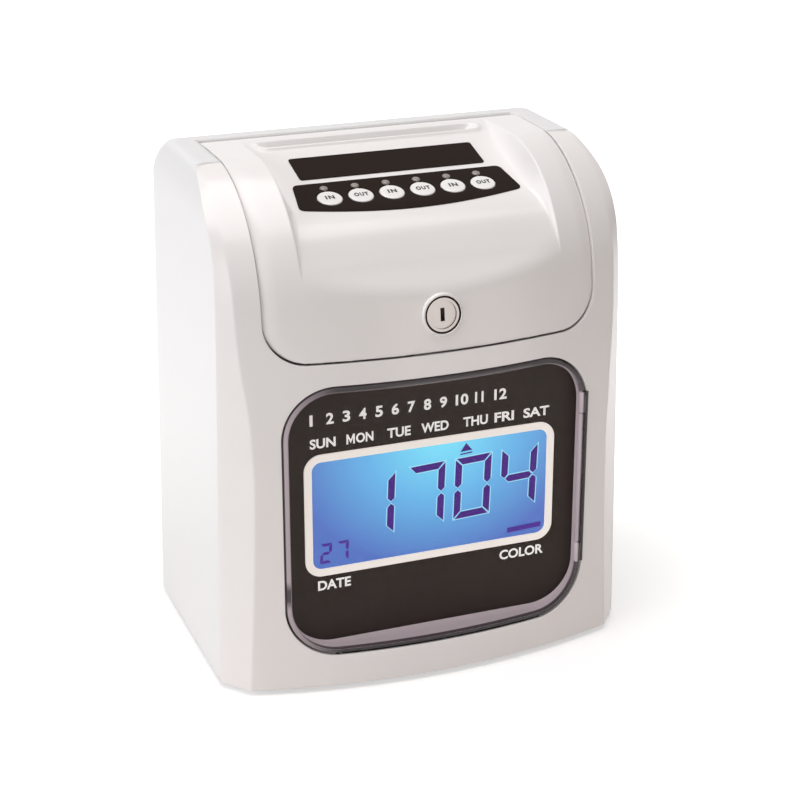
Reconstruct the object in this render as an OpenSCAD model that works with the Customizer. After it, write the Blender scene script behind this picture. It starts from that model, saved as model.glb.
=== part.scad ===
// Desktop time recorder for punch cards: a bowed moulded case with a swing-up lid on top,
// a clear door over the display, six mode buttons, a cam lock, and a card feed with a dot printer inside.
// Millimetres, +Z up. The origin is on the surface that the feet stand on, at the middle of the case.

/* [Case] */
// Width across the foot of the case
body_w = 182; // [176:1:200]
// Depth from the middle of the bowed front to the back
body_d = 122; // [120:1:140]
// Height of the case above the feet
body_h = 211.5; // [208:0.5:225]
// How far the front bows forward of its corners
front_bow = 11.5; // [9:0.5:13]
// How far each side leans in between foot and shoulder
side_draft = 4.5; // [3:0.5:7]
// Thickness of the moulded walls
wall = 2.5; // [2:0.1:2.8]
// Depth below the top of the case at which the front starts to lean back
lean_drop = 95.5; // [92:0.5:100]
// Lean of the upper front, in degrees
front_lean = 7; // [5:0.5:8]
// Radius that turns the front over into the top
top_round = 54; // [50:1:56]
// Radius of the edge between the back and the top
back_round = 16; // [10:1:20]
// Radius of the two upright rear corners
rear_corner_r = 5; // [4:1:18]
// Width of the cut on each front corner, seen from the front
corner_cut_x = 11; // [7:0.5:13]
// Depth of the cut on each front corner, seen from the side
corner_cut_y = 12.5; // [8:0.5:14]
// Width of the sloping top shoulder on each side
shoulder_w = 2.5; // [1.5:0.5:4]
// Height of the sloping top shoulder
shoulder_h = 11.5; // [8:0.5:14]
// Height of the rubber feet below the case
foot_h = 2.5; // [2:0.5:6]
// Radius of a rubber foot
foot_r = 8; // [6:0.5:9]

/* [Lid] */
// Width of the lid
lid_w = 140; // [132:1:146]
// Height of the lid, from its front lower edge to the top of the case
lid_drop = 69; // [66:0.5:70]
// Radius of the lid's two lower corners
lid_corner_r = 17; // [8:1:22]
// Width of the sunken deck in the lid
deck_w = 110; // [106:1:116]
// Slope of the deck, in degrees
deck_slope = 16; // [14:0.5:18]
// Depth of the button row below the top of the case
deck_drop = 14; // [13:0.5:15]
// Radius that turns the deck down into the lid's front
deck_round = 44; // [40:1:46]
// Radius of the rolled rear edge that carries the lid's hinge
knuckle_r = 5; // [4.5:0.1:5.5]
// Radius of the lid's hinge pins
lid_pin_r = 2; // [1.5:0.1:2.4]

/* [Card slot] */
// Width of the slot's throat
slot_w = 88; // [86.5:0.5:92]
// Thickness of the slot's throat and of the chute below it
slot_gap = 4.8; // [4.6:0.1:5.4]
// Width of the slot's mouth
mouth_w = 97.7; // [95:0.1:102]
// Depth of the funnel from the top of the case
funnel_d = 12.5; // [11:0.5:14]

/* [Buttons] */
// Distance between neighbouring buttons
button_pitch = 13.3; // [13.1:0.1:14]
// Radius of a button
button_r = 5.6; // [5:0.1:5.7]
// Height of a button above the deck
button_h = 1.2; // [1.2:0.1:2.6]
// Travel of a button
button_travel = 1.2; // [0.6:0.1:1.3]
// Radius of an indicator lens
led_r = 1.8; // [1.2:0.1:2]

/* [Lock] */
// Height of the lock above the lid's lower edge
lock_up = 14.5; // [14:0.5:17]
// Radius of the lock's outer ring
lock_ring_r = 8; // [7.6:0.1:9]
// Radius of the plug that the key turns
lock_plug_r = 5.75; // [5:0.05:6]
// Length of the cam from the middle of the lock
cam_l = 15; // [13:0.5:15.5]

/* [Display] */
// Width of the bezel on each side of the clear door
door_side = 24.5; // [21:0.5:26]
// Height of the door's lower edge
door_low = 14.5; // [14:0.5:18]
// Depth of the door's upper edge below the top of the case
door_drop = 79.5; // [76.5:0.5:81]
// Radius of the door's corners
door_corner_r = 22; // [18:1:26]
// Thickness of the door
door_t = 2; // [1.5:0.1:2.5]
// Radius of the door's hinge barrel
barrel_r = 1.8; // [1.6:0.1:2.2]
// Thickness of the dark fascia behind the door
fascia_t = 2; // [1.5:0.1:2.5]
// Distance from the door's side edge to the display's window
lcd_side = 14.6; // [13:0.1:17]
// Height of the display's window
lcd_h = 46.75; // [42:0.25:50]
// How far the middle of the display lies below the middle of the door
lcd_below = 0; // [-1:0.25:3]
// Width of the white line around the window
lcd_frame_w = 3.3; // [2.5:0.1:4]

/* [Printer and feed] */
// Distance between the two mechanism plates
frame_gap = 100; // [98:1:104]
// Thickness of the mechanism plates
plate_t = 1.5; // [1.2:0.1:2]
// Depth of the feed roller's shaft below the top of the case
feed_drop = 99.5; // [96:0.5:103]
// Radius of the rubber feed rollers
feed_roller_r = 8; // [7:0.1:8.5]
// Radius of the pinch rollers behind the card
pinch_roller_r = 7; // [6:0.1:7.5]
// Teeth on the feed gear
feed_teeth = 36; // [30:2:36]
// Teeth on the motor pinion
pinion_teeth = 12; // [12:2:14]
// Depth of the printed line below the top of the case
print_drop = 64.5; // [62.5:0.5:65.5]
// Radius of the carriage's guide rods
rod_r = 3; // [2.5:0.1:3.5]
// Travel of the print carriage to each side
carriage_travel = 24; // [15:1:24]
// Radius at which the belt runs on its pulleys
pulley_r = 6; // [5:0.1:6]

/* [Wall mount] */
// Distance between the two screw holes in the back
hang_pitch = 100; // [80:1:110]
// Radius of the screw holes in the back
hang_r = 2.6; // [2:0.1:3.5]
// Depth of the screw holes below the top of the case
hang_drop = 51.5; // [43.5:0.5:61.5]

/* [Hidden] */
$fn = 64;

// Gap along every seam between pieces that move apart
seam = 0.5;
// Running clearance of a shaft or pin in its hole, on the radius
run = 0.06;
// Clearance of a fixed pin, screw or boss in its hole, on the radius
snug = 0.02;
// Clearance of a piece that moves beside another
clear = 0.4;
// How far cutters and open ends run past the faces they cut
past = 40;
// Steps in the arcs of the moulded case
arc_steps = 16;
corner_steps = 8;

front_y = -body_d / 2;
back_y = body_d / 2;
corner_y = front_y + front_bow;
lean_z = body_h - lean_drop;
half_w = body_w / 2;
bow_half = half_w - corner_cut_x;
bow_r = (bow_half * bow_half + front_bow * front_bow) / (2 * front_bow);
cut_front_x = bow_half - front_bow * corner_cut_x / corner_cut_y;
arc_z = body_h - top_round;
lean_top_z = arc_z + top_round * sin(front_lean);
lean_back = (lean_top_z - lean_z) * tan(front_lean);
arc_back = lean_back + top_round * cos(front_lean);

// The upright plane and the arc at which the bezel meets the rear casing
split_back = 12.5;
split_drop = 71.5;
split_z = body_h - split_drop;
split_r = 80;
bezel_top_back = 53;

base_t = 2;
base_fit = 0.3;
foot_in = 28;
foot_side = 22;
post_r = 5;
post_h = 26;
screw_r = 1.5;
screw_head_r = 3;
screw_head_h = 1.6;
screw_l = 14;
front_post = [bow_half - 4, corner_y + 6.5];
rear_post_in = 6.5;
rear_post = [half_w - rear_post_in, back_y - rear_post_in];

lid_low = body_h - lid_drop;
deck_back = 31.7;
deck_y = corner_y + deck_back;
deck_z = body_h - deck_drop;
deck_blend = 5.4;
deck_arc_y = front_y + deck_blend + deck_round;
deck_arc_z = deck_z + ((deck_arc_y - deck_y) * sin(deck_slope) - deck_round) / cos(deck_slope);
hinge_back = 84;
hinge_y = corner_y + hinge_back;
hinge_z = body_h - knuckle_r;
lid_pin_in = 12;
ear_gap = 1.5;
ear_t = 5;
ear_d = 13;
ear_h = 11;
ear_out = lid_w / 2 + ear_gap + ear_t + seam;

slot_back = 75;
slot_y = corner_y + slot_back;
collar_wall = 2.8;
collar_low = body_h - funnel_d;
mouth_front = 1.4;
mouth_back = 2.2;

button_count = 6;
button_flange_r = button_pitch / 2 - clear;
button_flange_t = 1.2;
button_dome = 0.6;
stem_r = 2;
stem_l = 0.8;
board_t = 1.6;
switch_w = 6;
switch_h = 3.4;
switch_top = -wall - clear - button_flange_t - stem_l - button_travel - 0.2;
button_board_z = switch_top - switch_h;
button_board_w = deck_w - 18;
button_board_low = -11;
button_board_high = 14;
boss_r = 3;
board_boss_x = button_board_w / 2 - 3;
led_row = 8.6;
overlay_t = 0.4;
overlay_low_w = 94;
overlay_high_w = 89.2;
overlay_side_low = -6.5;
overlay_mid_low = -12.3;
overlay_high = 12.2;
strip_w = 80;
strip_low = 16;
strip_high = 33.4;

lock_z = lid_low + lock_up;
lock_set = 0.3;
lock_gap = 0.3;
lock_nut_set = 1.6;
lock_y = front_y + (lock_z - lean_z) * tan(front_lean) + lock_set;
lock_barrel_r = lock_ring_r - 1;
lock_flange_t = 1.2;
lock_l = 16;
lock_nut_r = lock_ring_r + 2;
lock_nut_t = 2.6;
lock_tail_r = 3;
cam_t = 1.8;
cam_w = 8;
keyway_w = 1.8;
keyway_h = 5.4;
keyway_d = 6;

door_w = body_w - 2 * door_side;
door_high = body_h - door_drop;
lcd_w = door_w - 2 * lcd_side;
lcd_z = (door_low + door_high) / 2 - lcd_below;
fascia_set = 2;
fascia_y = corner_y + fascia_set;
fascia_back = fascia_y + fascia_t;
sleeve_t = 2;
fascia_lap = 2;
lcd_lap = 4;
lcd_t = 2.2;
backlight_t = 3;
lcd_corner_r = 4;
lcd_frame_t = 0.4;
display_post_r = 3;
display_post_l = 8;
display_board_y = fascia_back + display_post_l;
board_foot_in = 7.5;
board_head_in = 7;
board_side_in = 2.5;
display_board_low = door_low + board_foot_in;
display_board_high = door_high - board_head_in;
display_board_w = door_w - 2 * board_side_in;
display_post_inset = 4;
fascia_boss_r = 3.5;
fascia_boss_inset = 3.5;
door_rim_w = 2;
door_axis_x = door_w / 2;
door_axis_in = 0.3;
door_axis_y = front_y + bow_r - sqrt(bow_r * bow_r - door_axis_x * door_axis_x) + door_axis_in;
door_pin_r = 0.9;
lug_h = 9;
lug_foot_in = 21.5;
lug_head_in = 27;
lug_low = door_low + lug_foot_in;
lug_high = door_high - lug_head_in;
catch_low = lug_low;
catch_h = 9;
catch_w = 2;
catch_proud = 1.2;
keeper_t = 1.5;
keeper_w = 14;
keeper_lap = 12;
keeper_gap = 0.3;

plate_x = frame_gap / 2;
plate_front_in = 15.5;
plate_back_out = 19;
plate_drop = 35.5;
plate_low_y = corner_y + plate_front_in;
plate_high_y = slot_y + plate_back_out;
plate_top = body_h - plate_drop;
feed_z = body_h - feed_drop;
print_z = body_h - print_drop;
plate_foot = 10;
chute_t = 1;
chute_low = 12;
chute_top = collar_low - 0.8;
chute_front_y = slot_y - slot_gap / 2;
chute_back_y = slot_y + slot_gap / 2;
print_window_in = 2;
card_stop_z = 16;
card_stop_h = 5;
pinch_gap = 0.5;
feed_y = slot_y - pinch_gap / 2 - feed_roller_r;
pinch_y = slot_y + pinch_gap / 2 + pinch_roller_r;
feed_shaft_r = 2.5;
pinch_shaft_r = 2;
roller_l = 16;
roller_x = 22;
roller_window = 1.2;
shaft_out = 9;
shaft_over = 2;
gear_module = 1;
gear_w = 5;
gear_addendum = 0.8;
gear_dedendum = 1.2;
pressure_angle = 20;
backlash = 0.25;
gear_x = plate_x + plate_t + 1;
mesh_angle = 45;
mesh_dist = gear_module * (feed_teeth + pinion_teeth) / 2;
motor_y = feed_y - mesh_dist * cos(mesh_angle);
motor_z = feed_z - mesh_dist * sin(mesh_angle);
motor_r = 12;
motor_l = 30;
motor_shaft_r = 1.5;
motor_shaft_in = 5;
motor_hole_r = 4;
tie_r = 3;
tie_in = 6;
tie_front_z = 60;
tie_back_z = 30;
tie_head_in = 10;
tie_places = [[plate_low_y + tie_in, tie_front_z], [plate_high_y - tie_in, tie_back_z],
    [plate_high_y - tie_in, plate_top - tie_head_in]];

rod_back = 23.5;
rod_front = 37.5;
rod_y = [slot_y - rod_front, slot_y - rod_back];
rod_z = print_z;
carriage_w = 28;
carriage_low_y = rod_y[0] - 5;
carriage_high_y = rod_y[1] + 5;
carriage_h = 12;
head_w = 18;
nose_w = 10;
nose_h = 8;
nose_l = 6;
band_t = 0.3;
band_h = 13;
platen_d = 6;
platen_h = 11;
band_y = chute_front_y - chute_t - 0.4 - band_t;
head_front_y = band_y - 0.5;
shelf_t = 1.5;
shelf_z = print_z - carriage_h / 2 - 2 - shelf_t;
shelf_low_y = plate_low_y + 0.5;
shelf_under = 12;
shelf_high_y = carriage_low_y + shelf_under;
belt_t = 1.2;
belt_h = 5;
belt_fit = 0.3;
belt_low = shelf_z + shelf_t + 1.6;
pulley_x = 36;
pulley_y = carriage_low_y - 1.5 - belt_t - belt_fit - pulley_r;
pulley_flange_t = 0.8;
pulley_flange_r = pulley_r + belt_fit + belt_t + 0.4;
pulley_post_r = 2;
post_over = 4;
carriage_motor_r = 9;
carriage_motor_h = 24;
clip_w = 6;
clip_t = 1.2;
cartridge_up = 11;
cartridge_low = print_z + cartridge_up;
cartridge_h = 14;
cartridge_w = 94;
cartridge_front = 39.5;
cartridge_back = 11.5;
cartridge_low_y = slot_y - cartridge_front;
cartridge_high_y = slot_y - cartridge_back;
arm_w = 4;
arm_d = 12;
cartridge_ear = 3;
knob_r = 8;
knob_h = 6;
knob_grip_l = 11.2;
knob_grip_w = 2;
knob_grip_h = 2;
knob_shaft_r = 2.5;
knob_x = -25;
knob_y = (cartridge_low_y + cartridge_high_y) / 2;

transformer_at = [-44, plate_low_y + 6];
transformer_size = [40, 36, 36];
coil_out = 4;
power_board_at = [6, plate_low_y + 6];
power_board_size = [38, 36];
standoff_h = 5;
capacitor_r = 6;
capacitor_h = 20;
main_board_w = 84;
main_board_low = 40;
main_board_drop = 81.5;
main_board_high = body_h - main_board_drop;
main_board_off = 5;
buzzer_r = 9;
buzzer_h = 7;
hang_z = body_h - hang_drop;
inlet_x = -58;
inlet_z = 26;
inlet_r = 5.5;
inlet_flange_r = 8;
inlet_l = 14;
inlet_wall = 1.5;
inlet_pin_r = 1;

// Points of an arc from angle a0 to a1
function arc(cx, cy, r, a0, a1, steps) =
    [for (i = [0 : steps]) let (a = a0 + (a1 - a0) * i / steps) [cx + r * cos(a), cy + r * sin(a)]];

// Outline of a rectangle with round corners, from z0 to z1 and centred across
function rounded(w, z0, z1, r) = concat(
    arc(w / 2 - r, z0 + r, r, -90, 0, corner_steps),
    arc(w / 2 - r, z1 - r, r, 0, 90, corner_steps),
    arc(r - w / 2, z1 - r, r, 90, 180, corner_steps),
    arc(r - w / 2, z0 + r, r, 180, 270, corner_steps));

// Half width of the case at a height
function side_x(z) = half_w - side_draft * z / (body_h - shoulder_h);

// Lifts the case onto its feet
module stand() translate([0, 0, foot_h]) children();

// Carries an outline in X and Z from y0 back to y1
module facing(y0, y1) translate([0, y1, 0]) rotate([90, 0, 0]) linear_extrude(y1 - y0) children();

// Carries an outline in Y and Z across from x0 to x1
module across(x0, x1) translate([x0, 0, 0]) rotate([90, 0, 90]) linear_extrude(x1 - x0) children();

// Places its children on the deck: x across, y up the slope, z out of the surface
module on_deck() translate([0, deck_y, deck_z]) rotate([deck_slope, 0, 0]) children();

// Places its children at the lock: x across, y up the front, z out of the surface
module at_lock() translate([0, lock_y, lock_z]) rotate([90 - front_lean, 0, 0]) children();

// A round bar across the case
module bar(x0, x1, y, z, r) across(x0, x1) translate([y, z]) circle(r);

// The case as one block, drawn in by inset on every face but the open foot
module case_block(inset) {
    low = inset > 0 ? -past : 0;
    r = top_round - inset;
    x0 = side_x(0) - inset;
    x1 = side_x(body_h - shoulder_h) - inset;
    far = body_d + past;
    intersection() {
        translate([0, front_y + bow_r, 0])
            rotate_extrude($fn = 256)
                translate([bow_r, 0]) mirror([1, 0]) polygon(concat(
                    [[far, low], [inset, low], [inset, lean_z - inset * tan(front_lean / 2)]],
                    arc(arc_back, arc_z, r, 180 - front_lean, 90, arc_steps),
                    [[far, body_h - inset]]));
        facing(front_y - past, back_y + past) polygon([
            [-x0, low], [x0, low], [x1, body_h - shoulder_h], [x1 - shoulder_w, body_h],
            [shoulder_w - x1, body_h], [-x1, body_h - shoulder_h]]);
        translate([0, 0, low]) linear_extrude(body_h - low) polygon(concat(
            [[inset - cut_front_x, front_y], [cut_front_x - inset, front_y],
             [half_w - inset, corner_y + corner_cut_y]],
            arc(half_w - rear_corner_r, back_y - rear_corner_r, rear_corner_r - inset, 0, 90, corner_steps),
            arc(rear_corner_r - half_w, back_y - rear_corner_r, rear_corner_r - inset, 90, 180, corner_steps),
            [[inset - half_w, corner_y + corner_cut_y]]));
        across(-half_w, half_w) polygon(concat(
            [[front_y - past, low], [back_y - inset, low]],
            arc(back_y - back_round, body_h - back_round, back_round - inset, 0, 90, corner_steps),
            [[front_y - past, body_h - inset]]));
    }
}

// The space behind the bezel: behind an upright plane, an arc over the shoulder, and a line across the top
module behind_bezel() {
    across(-body_w, body_w) polygon(concat(
        [[back_y + past, -past], [corner_y + split_back, -past]],
        arc(corner_y + split_back + split_r, split_z, split_r, 180,
            180 - acos((split_back + split_r - bezel_top_back) / split_r), arc_steps),
        [[corner_y + bezel_top_back, body_h + past], [back_y + past, body_h + past]]));
}

// The front outline of the lid, grown by a margin, carried back to y1
module lid_space(grow, y1) {
    facing(front_y - past, y1)
        polygon(rounded(lid_w + 2 * grow, lid_low - grow, body_h + past, lid_corner_r + grow));
}

// What the sunken deck takes out of the lid, drawn deeper by inset
module deck_cut(inset) {
    r = deck_round - inset;
    tangent = [deck_arc_y - r * sin(deck_slope), deck_arc_z + r * cos(deck_slope)];
    run_out = (back_y + past - tangent[0]) / cos(deck_slope);
    across(-deck_w / 2 - inset, deck_w / 2 + inset) polygon(concat(
        [[front_y - past, deck_arc_z]],
        arc(deck_arc_y, deck_arc_z, r, 180, 90 + deck_slope, arc_steps),
        [tangent + run_out * [cos(deck_slope), sin(deck_slope)], [front_y - past, body_h + 2 * past]]));
}

// The four posts that the screws from below go into
module corner_posts(places) {
    intersection() {
        case_block(wall / 2);
        for (side = [-1, 1], p = places) translate([side * p[0], p[1], base_t]) difference() {
            cylinder(r = post_r, h = post_h);
            cylinder(r = screw_r + snug, h = screw_l);
        }
    }
}

// A screw with a round head at the origin and its shank along +Z
module screw(l) {
    translate([0, 0, -screw_head_h]) cylinder(r = screw_head_r, h = screw_head_h);
    cylinder(r = screw_r, h = l);
}

// Outline of the door, grown by a margin
module door_outline(grow) {
    polygon(rounded(door_w + 2 * grow, door_low - grow, door_high + grow, door_corner_r + grow));
}

// The four corners of the fascia that are screwed to the bezel
module at_fascia_corners() {
    w = door_w / 2 + seam + sleeve_t + fascia_lap - fascia_boss_inset;
    low = door_low - seam - sleeve_t - fascia_lap + fascia_boss_inset;
    high = door_high + seam + sleeve_t + fascia_lap - fascia_boss_inset;
    for (x = [-w, w], z = [low, high]) translate([x, fascia_y, z]) rotate([-90, 0, 0]) children();
}

// The four posts that carry the display's board
module at_display_posts() {
    x = display_board_w / 2 - display_post_inset;
    for (sx = [-x, x], z = [display_board_low + display_post_inset, display_board_high - display_post_inset])
        translate([sx, fascia_back, z]) rotate([-90, 0, 0]) children();
}

// The four bosses on the back wall that carry the main board
module at_main_board() {
    x = main_board_w / 2 - display_post_inset;
    for (sx = [-x, x], z = [main_board_low + display_post_inset, main_board_high - display_post_inset])
        translate([sx, back_y - wall, z]) rotate([90, 0, 0]) children();
}

// The four bosses under the deck that carry the button board
module at_board_bosses() {
    for (x = [-board_boss_x, board_boss_x], y = [button_board_low + boss_r, button_board_high - boss_r])
        translate([x, y, 0]) children();
}

module at_buttons() {
    for (i = [0 : button_count - 1]) translate([button_x(i), 0, 0]) children();
}

function button_x(i) = (i - (button_count - 1) / 2) * button_pitch;

module rear_casing() color("white") stand() {
    difference() {
        union() {
            intersection() {
                difference() {
                    case_block(0);
                    case_block(wall);
                }
                behind_bezel();
            }
            corner_posts([rear_post]);
            at_main_board() translate([0, 0, -wall / 2]) cylinder(r = boss_r, h = main_board_off + wall / 2);
            intersection() {
                case_block(wall / 2);
                for (side = [-1, 1])
                    translate([side * (lid_w / 2 + ear_gap + ear_t / 2), hinge_y, body_h - ear_h / 2])
                        cube([ear_t, ear_d, ear_h], center = true);
            }
        }
        lid_space(seam, hinge_y + knuckle_r + seam);
        bar(-ear_out, ear_out, hinge_y, hinge_z, lid_pin_r + run);
        for (x = [-1, 1]) translate([x * hang_pitch / 2, back_y + past, hang_z])
            rotate([90, 0, 0]) cylinder(r = hang_r, h = past + wall * 2);
        translate([inlet_x, back_y + past, inlet_z])
            rotate([90, 0, 0]) cylinder(r = inlet_r + snug, h = past + wall * 2);
        at_main_board() cylinder(r = screw_r + snug, h = main_board_off + seam);
    }
}

module front_bezel() color("linen") stand() {
    difference() {
        union() {
            difference() {
                case_block(0);
                case_block(wall);
                behind_bezel();
            }
            intersection() {
                case_block(0);
                facing(front_y - past, fascia_y) door_outline(seam + sleeve_t);
            }
            intersection() {
                case_block(wall / 2);
                at_fascia_corners() mirror([0, 0, 1]) cylinder(r = fascia_boss_r, h = front_bow);
            }
            difference() {
                corner_posts([front_post]);
                behind_bezel();
            }
        }
        facing(front_y - past, fascia_y + past) door_outline(seam);
        lid_space(seam, back_y);
        at_fascia_corners() translate([0, 0, -fascia_set]) cylinder(r = screw_r + snug, h = past);
        door_barrel_room();
    }
    door_lugs();
}

// Room for the door's hinge barrel to turn in the edge of the bezel
module door_barrel_room() {
    translate([door_axis_x, door_axis_y, lug_low - seam])
        cylinder(r = barrel_r + seam, h = lug_high - lug_low + lug_h + 2 * seam);
}

// The two lugs on the bezel that hold the door's hinge pin
module door_lugs() {
    for (z = [lug_low, lug_high]) translate([door_axis_x, door_axis_y, z]) difference() {
        union() {
            cylinder(r = barrel_r, h = lug_h);
            translate([0, -barrel_r / 2, 0]) cube([barrel_r + seam + sleeve_t, barrel_r * 1.5, lug_h]);
        }
        translate([0, 0, -seam]) cylinder(r = door_pin_r + snug, h = lug_h + 2 * seam);
    }
}

module base_plate() color("dimgray") stand() difference() {
    intersection() {
        case_block(wall + base_fit);
        translate([-half_w, front_y, 0]) cube([body_w, body_d, base_t]);
    }
    for (side = [-1, 1], p = [front_post, rear_post]) translate([side * p[0], p[1], -past])
        cylinder(r = screw_r + snug, h = 2 * past);
}

module rubber_feet() color("black") {
    for (x = [-1, 1], y = [corner_y + foot_in, back_y - foot_in])
        translate([x * (half_w - foot_side), y, 0]) cylinder(r = foot_r, h = foot_h);
}

module case_screws() color("silver") stand() {
    for (side = [-1, 1], p = [front_post, rear_post]) translate([side * p[0], p[1], 0]) screw(screw_l);
}

module display_fascia() color("black") stand() difference() {
    union() {
        intersection() {
            case_block(wall + base_fit);
            facing(fascia_y, fascia_back) door_outline_square(seam + sleeve_t + fascia_lap);
        }
        at_display_posts() cylinder(r = display_post_r, h = display_post_l);
    }
    facing(fascia_y - past, fascia_back + past) lcd_outline(0);
    at_fascia_corners() cylinder(r = screw_r + snug, h = past);
    at_display_posts() translate([0, 0, 1]) cylinder(r = screw_r + snug, h = past);
}

// The fascia reaches into the corners, past the door's own round ones
module door_outline_square(grow) {
    translate([-door_w / 2 - grow, door_low - grow])
        square([door_w + 2 * grow, door_high - door_low + 2 * grow]);
}

module lcd_outline(grow) {
    reach = lcd_h / 2 + grow;
    polygon(rounded(lcd_w + 2 * grow, lcd_z - reach, lcd_z + reach, lcd_corner_r + grow));
}

module lcd_frame() color("white") stand() facing(fascia_y - lcd_frame_t, fascia_y) difference() {
    lcd_outline(lcd_frame_w);
    lcd_outline(0);
}

module lcd_glass() color("deepskyblue") stand()
    facing(fascia_back, fascia_back + lcd_t) lcd_block();

module lcd_block() {
    translate([-lcd_w / 2 - lcd_lap, lcd_z - lcd_h / 2 - lcd_lap])
        square([lcd_w + 2 * lcd_lap, lcd_h + 2 * lcd_lap]);
}

module lcd_backlight() color("white") stand()
    facing(fascia_back + lcd_t, fascia_back + lcd_t + backlight_t) lcd_block();

module display_board() color("darkgreen") stand() difference() {
    union() {
        translate([-display_board_w / 2, display_board_y, display_board_low])
            cube([display_board_w, board_t, display_board_high - display_board_low]);
        facing(fascia_back + lcd_t + backlight_t, display_board_y)
            translate([-lcd_w / 4, lcd_z - lcd_h / 4]) square([lcd_w / 2, lcd_h / 2]);
    }
    at_display_posts() cylinder(r = screw_r + snug, h = past);
}

module display_screws() color("silver") stand() {
    at_fascia_corners() translate([0, 0, fascia_t]) mirror([0, 0, 1]) screw(fascia_t + fascia_set);
    at_display_posts() translate([0, 0, display_post_l + board_t]) mirror([0, 0, 1]) screw(display_post_l);
    at_main_board() translate([0, 0, main_board_off + board_t]) mirror([0, 0, 1]) screw(main_board_off);
}

module door_hinge_pin() color("silver") stand()
    translate([door_axis_x, door_axis_y, lug_low]) cylinder(r = door_pin_r, h = lug_high - lug_low + lug_h);

module clear_door() color("lightblue", 0.4) stand() difference() {
    union() {
        difference() {
            intersection() {
                case_block(0);
                facing(front_y - past, fascia_y - 2 * seam) door_outline(0);
            }
            difference() {
                case_block(door_t);
                facing(front_y - past, fascia_y) difference() {
                    door_outline(past);
                    door_outline(-door_rim_w);
                }
            }
            for (z = [lug_low, lug_high])
                translate([door_axis_x - 2 * barrel_r, front_y, z - seam])
                    cube([past, past, lug_h + 2 * seam]);
        }
        translate([door_axis_x, door_axis_y, lug_low + lug_h + seam])
            cylinder(r = barrel_r, h = lug_high - lug_low - lug_h - 2 * seam);
        intersection() {
            case_block(-catch_proud);
            translate([-door_w / 2, front_y, catch_low]) cube([catch_w, front_bow, catch_h]);
        }
    }
    translate([door_axis_x, door_axis_y, 0]) cylinder(r = door_pin_r + run, h = body_h);
}

module lock_keeper() color("silver") stand() {
    lip_y = lock_y + lock_l * cos(front_lean) - cam_l * sin(front_lean) - keeper_gap;
    top = door_high + seam + sleeve_t + fascia_lap;
    across(-keeper_w / 2, keeper_w / 2) polygon([
        [fascia_back, top - keeper_lap], [fascia_back + keeper_t, top - keeper_lap],
        [fascia_back + keeper_t, top], [lip_y, top], [lip_y, lock_z - cam_l + keeper_t * 2],
        [lip_y - keeper_t, lock_z - cam_l + keeper_t * 2], [lip_y - keeper_t, top + keeper_t],
        [fascia_back, top + keeper_t]]);
}

module top_lid() color("ghostwhite") stand() difference() {
    union() {
        intersection() {
            difference() {
                case_block(0);
                deck_cut(0);
                difference() {
                    case_block(wall);
                    deck_cut(wall);
                }
            }
            lid_space(0, hinge_y);
        }
        bar(-lid_w / 2, lid_w / 2, hinge_y, hinge_z, knuckle_r);
        difference() {
            translate([-slot_w / 2 - collar_wall * 2, slot_y - slot_gap / 2 - collar_wall, collar_low])
                cube([slot_w + collar_wall * 4, slot_gap + 2 * collar_wall, funnel_d - wall]);
            deck_cut(wall / 2);
        }
        on_deck() at_board_bosses() translate([0, 0, button_board_z])
            cylinder(r = boss_r, h = -button_board_z - wall / 2);
    }
    funnel();
    on_deck() at_buttons() {
        translate([0, 0, -past / 4]) cylinder(r = button_r + clear, h = past);
        translate([0, led_row, -past / 4]) cylinder(r = led_r + snug, h = past);
    }
    on_deck() at_board_bosses() translate([0, 0, button_board_z - seam])
        cylinder(r = screw_r + snug, h = -button_board_z - wall);
    at_lock() translate([0, 0, -past / 2]) cylinder(r = lock_barrel_r + snug, h = past);
    at_lock() cylinder(r = lock_ring_r + lock_gap, h = past);
    for (side = [0, 1]) mirror([side, 0, 0])
        bar(lid_w / 2 - lid_pin_in, half_w, hinge_y, hinge_z, lid_pin_r + snug);
}

// The card slot's throat and the funnel that leads into it
module funnel() {
    across(-slot_w / 2, slot_w / 2) translate([slot_y - slot_gap / 2, collar_low - past])
        square([slot_gap, past + funnel_d]);
    low = body_h - funnel_d / 2;
    across(-mouth_w / 2, mouth_w / 2) polygon([
        [chute_front_y, low], [chute_back_y, low], [chute_back_y + mouth_back, body_h + seam],
        [chute_front_y - mouth_front, body_h + seam]]);
}

module lid_hinge_pins() color("silver") stand() {
    for (side = [0, 1]) mirror([side, 0, 0])
        bar(lid_w / 2 - lid_pin_in + seam, lid_w / 2 + ear_gap + ear_t, hinge_y, hinge_z, lid_pin_r);
}

module strip_label() color("black") stand() on_deck()
    translate([-strip_w / 2, strip_low, 0]) cube([strip_w, strip_high - strip_low, overlay_t]);

module button_overlay() color("black") stand() on_deck() linear_extrude(overlay_t) difference() {
    rise = overlay_side_low - overlay_mid_low;
    r = (overlay_low_w * overlay_low_w / 4 + rise * rise) / (2 * rise);
    swing = asin(overlay_low_w / 2 / r);
    polygon(concat(
        arc(0, overlay_mid_low + r, r, 270 - swing, 270 + swing, arc_steps),
        [[overlay_high_w / 2, overlay_high], [-overlay_high_w / 2, overlay_high]]));
    at_buttons() {
        circle(button_r + clear);
        translate([0, led_row]) circle(led_r + snug);
    }
}

module button_board() color("darkgreen") stand() on_deck() difference() {
    union() {
        translate([-button_board_w / 2, button_board_low, button_board_z - board_t])
            cube([button_board_w, button_board_high - button_board_low, board_t]);
        at_buttons() translate([-switch_w / 2, -switch_w / 2, button_board_z])
            cube([switch_w, switch_w, switch_h]);
    }
    at_board_bosses() translate([0, 0, button_board_z - past]) cylinder(r = screw_r + snug, h = 2 * past);
}

module board_screws() color("silver") stand() on_deck()
    at_board_bosses() translate([0, 0, button_board_z - board_t]) screw(-button_board_z - wall);

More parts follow.
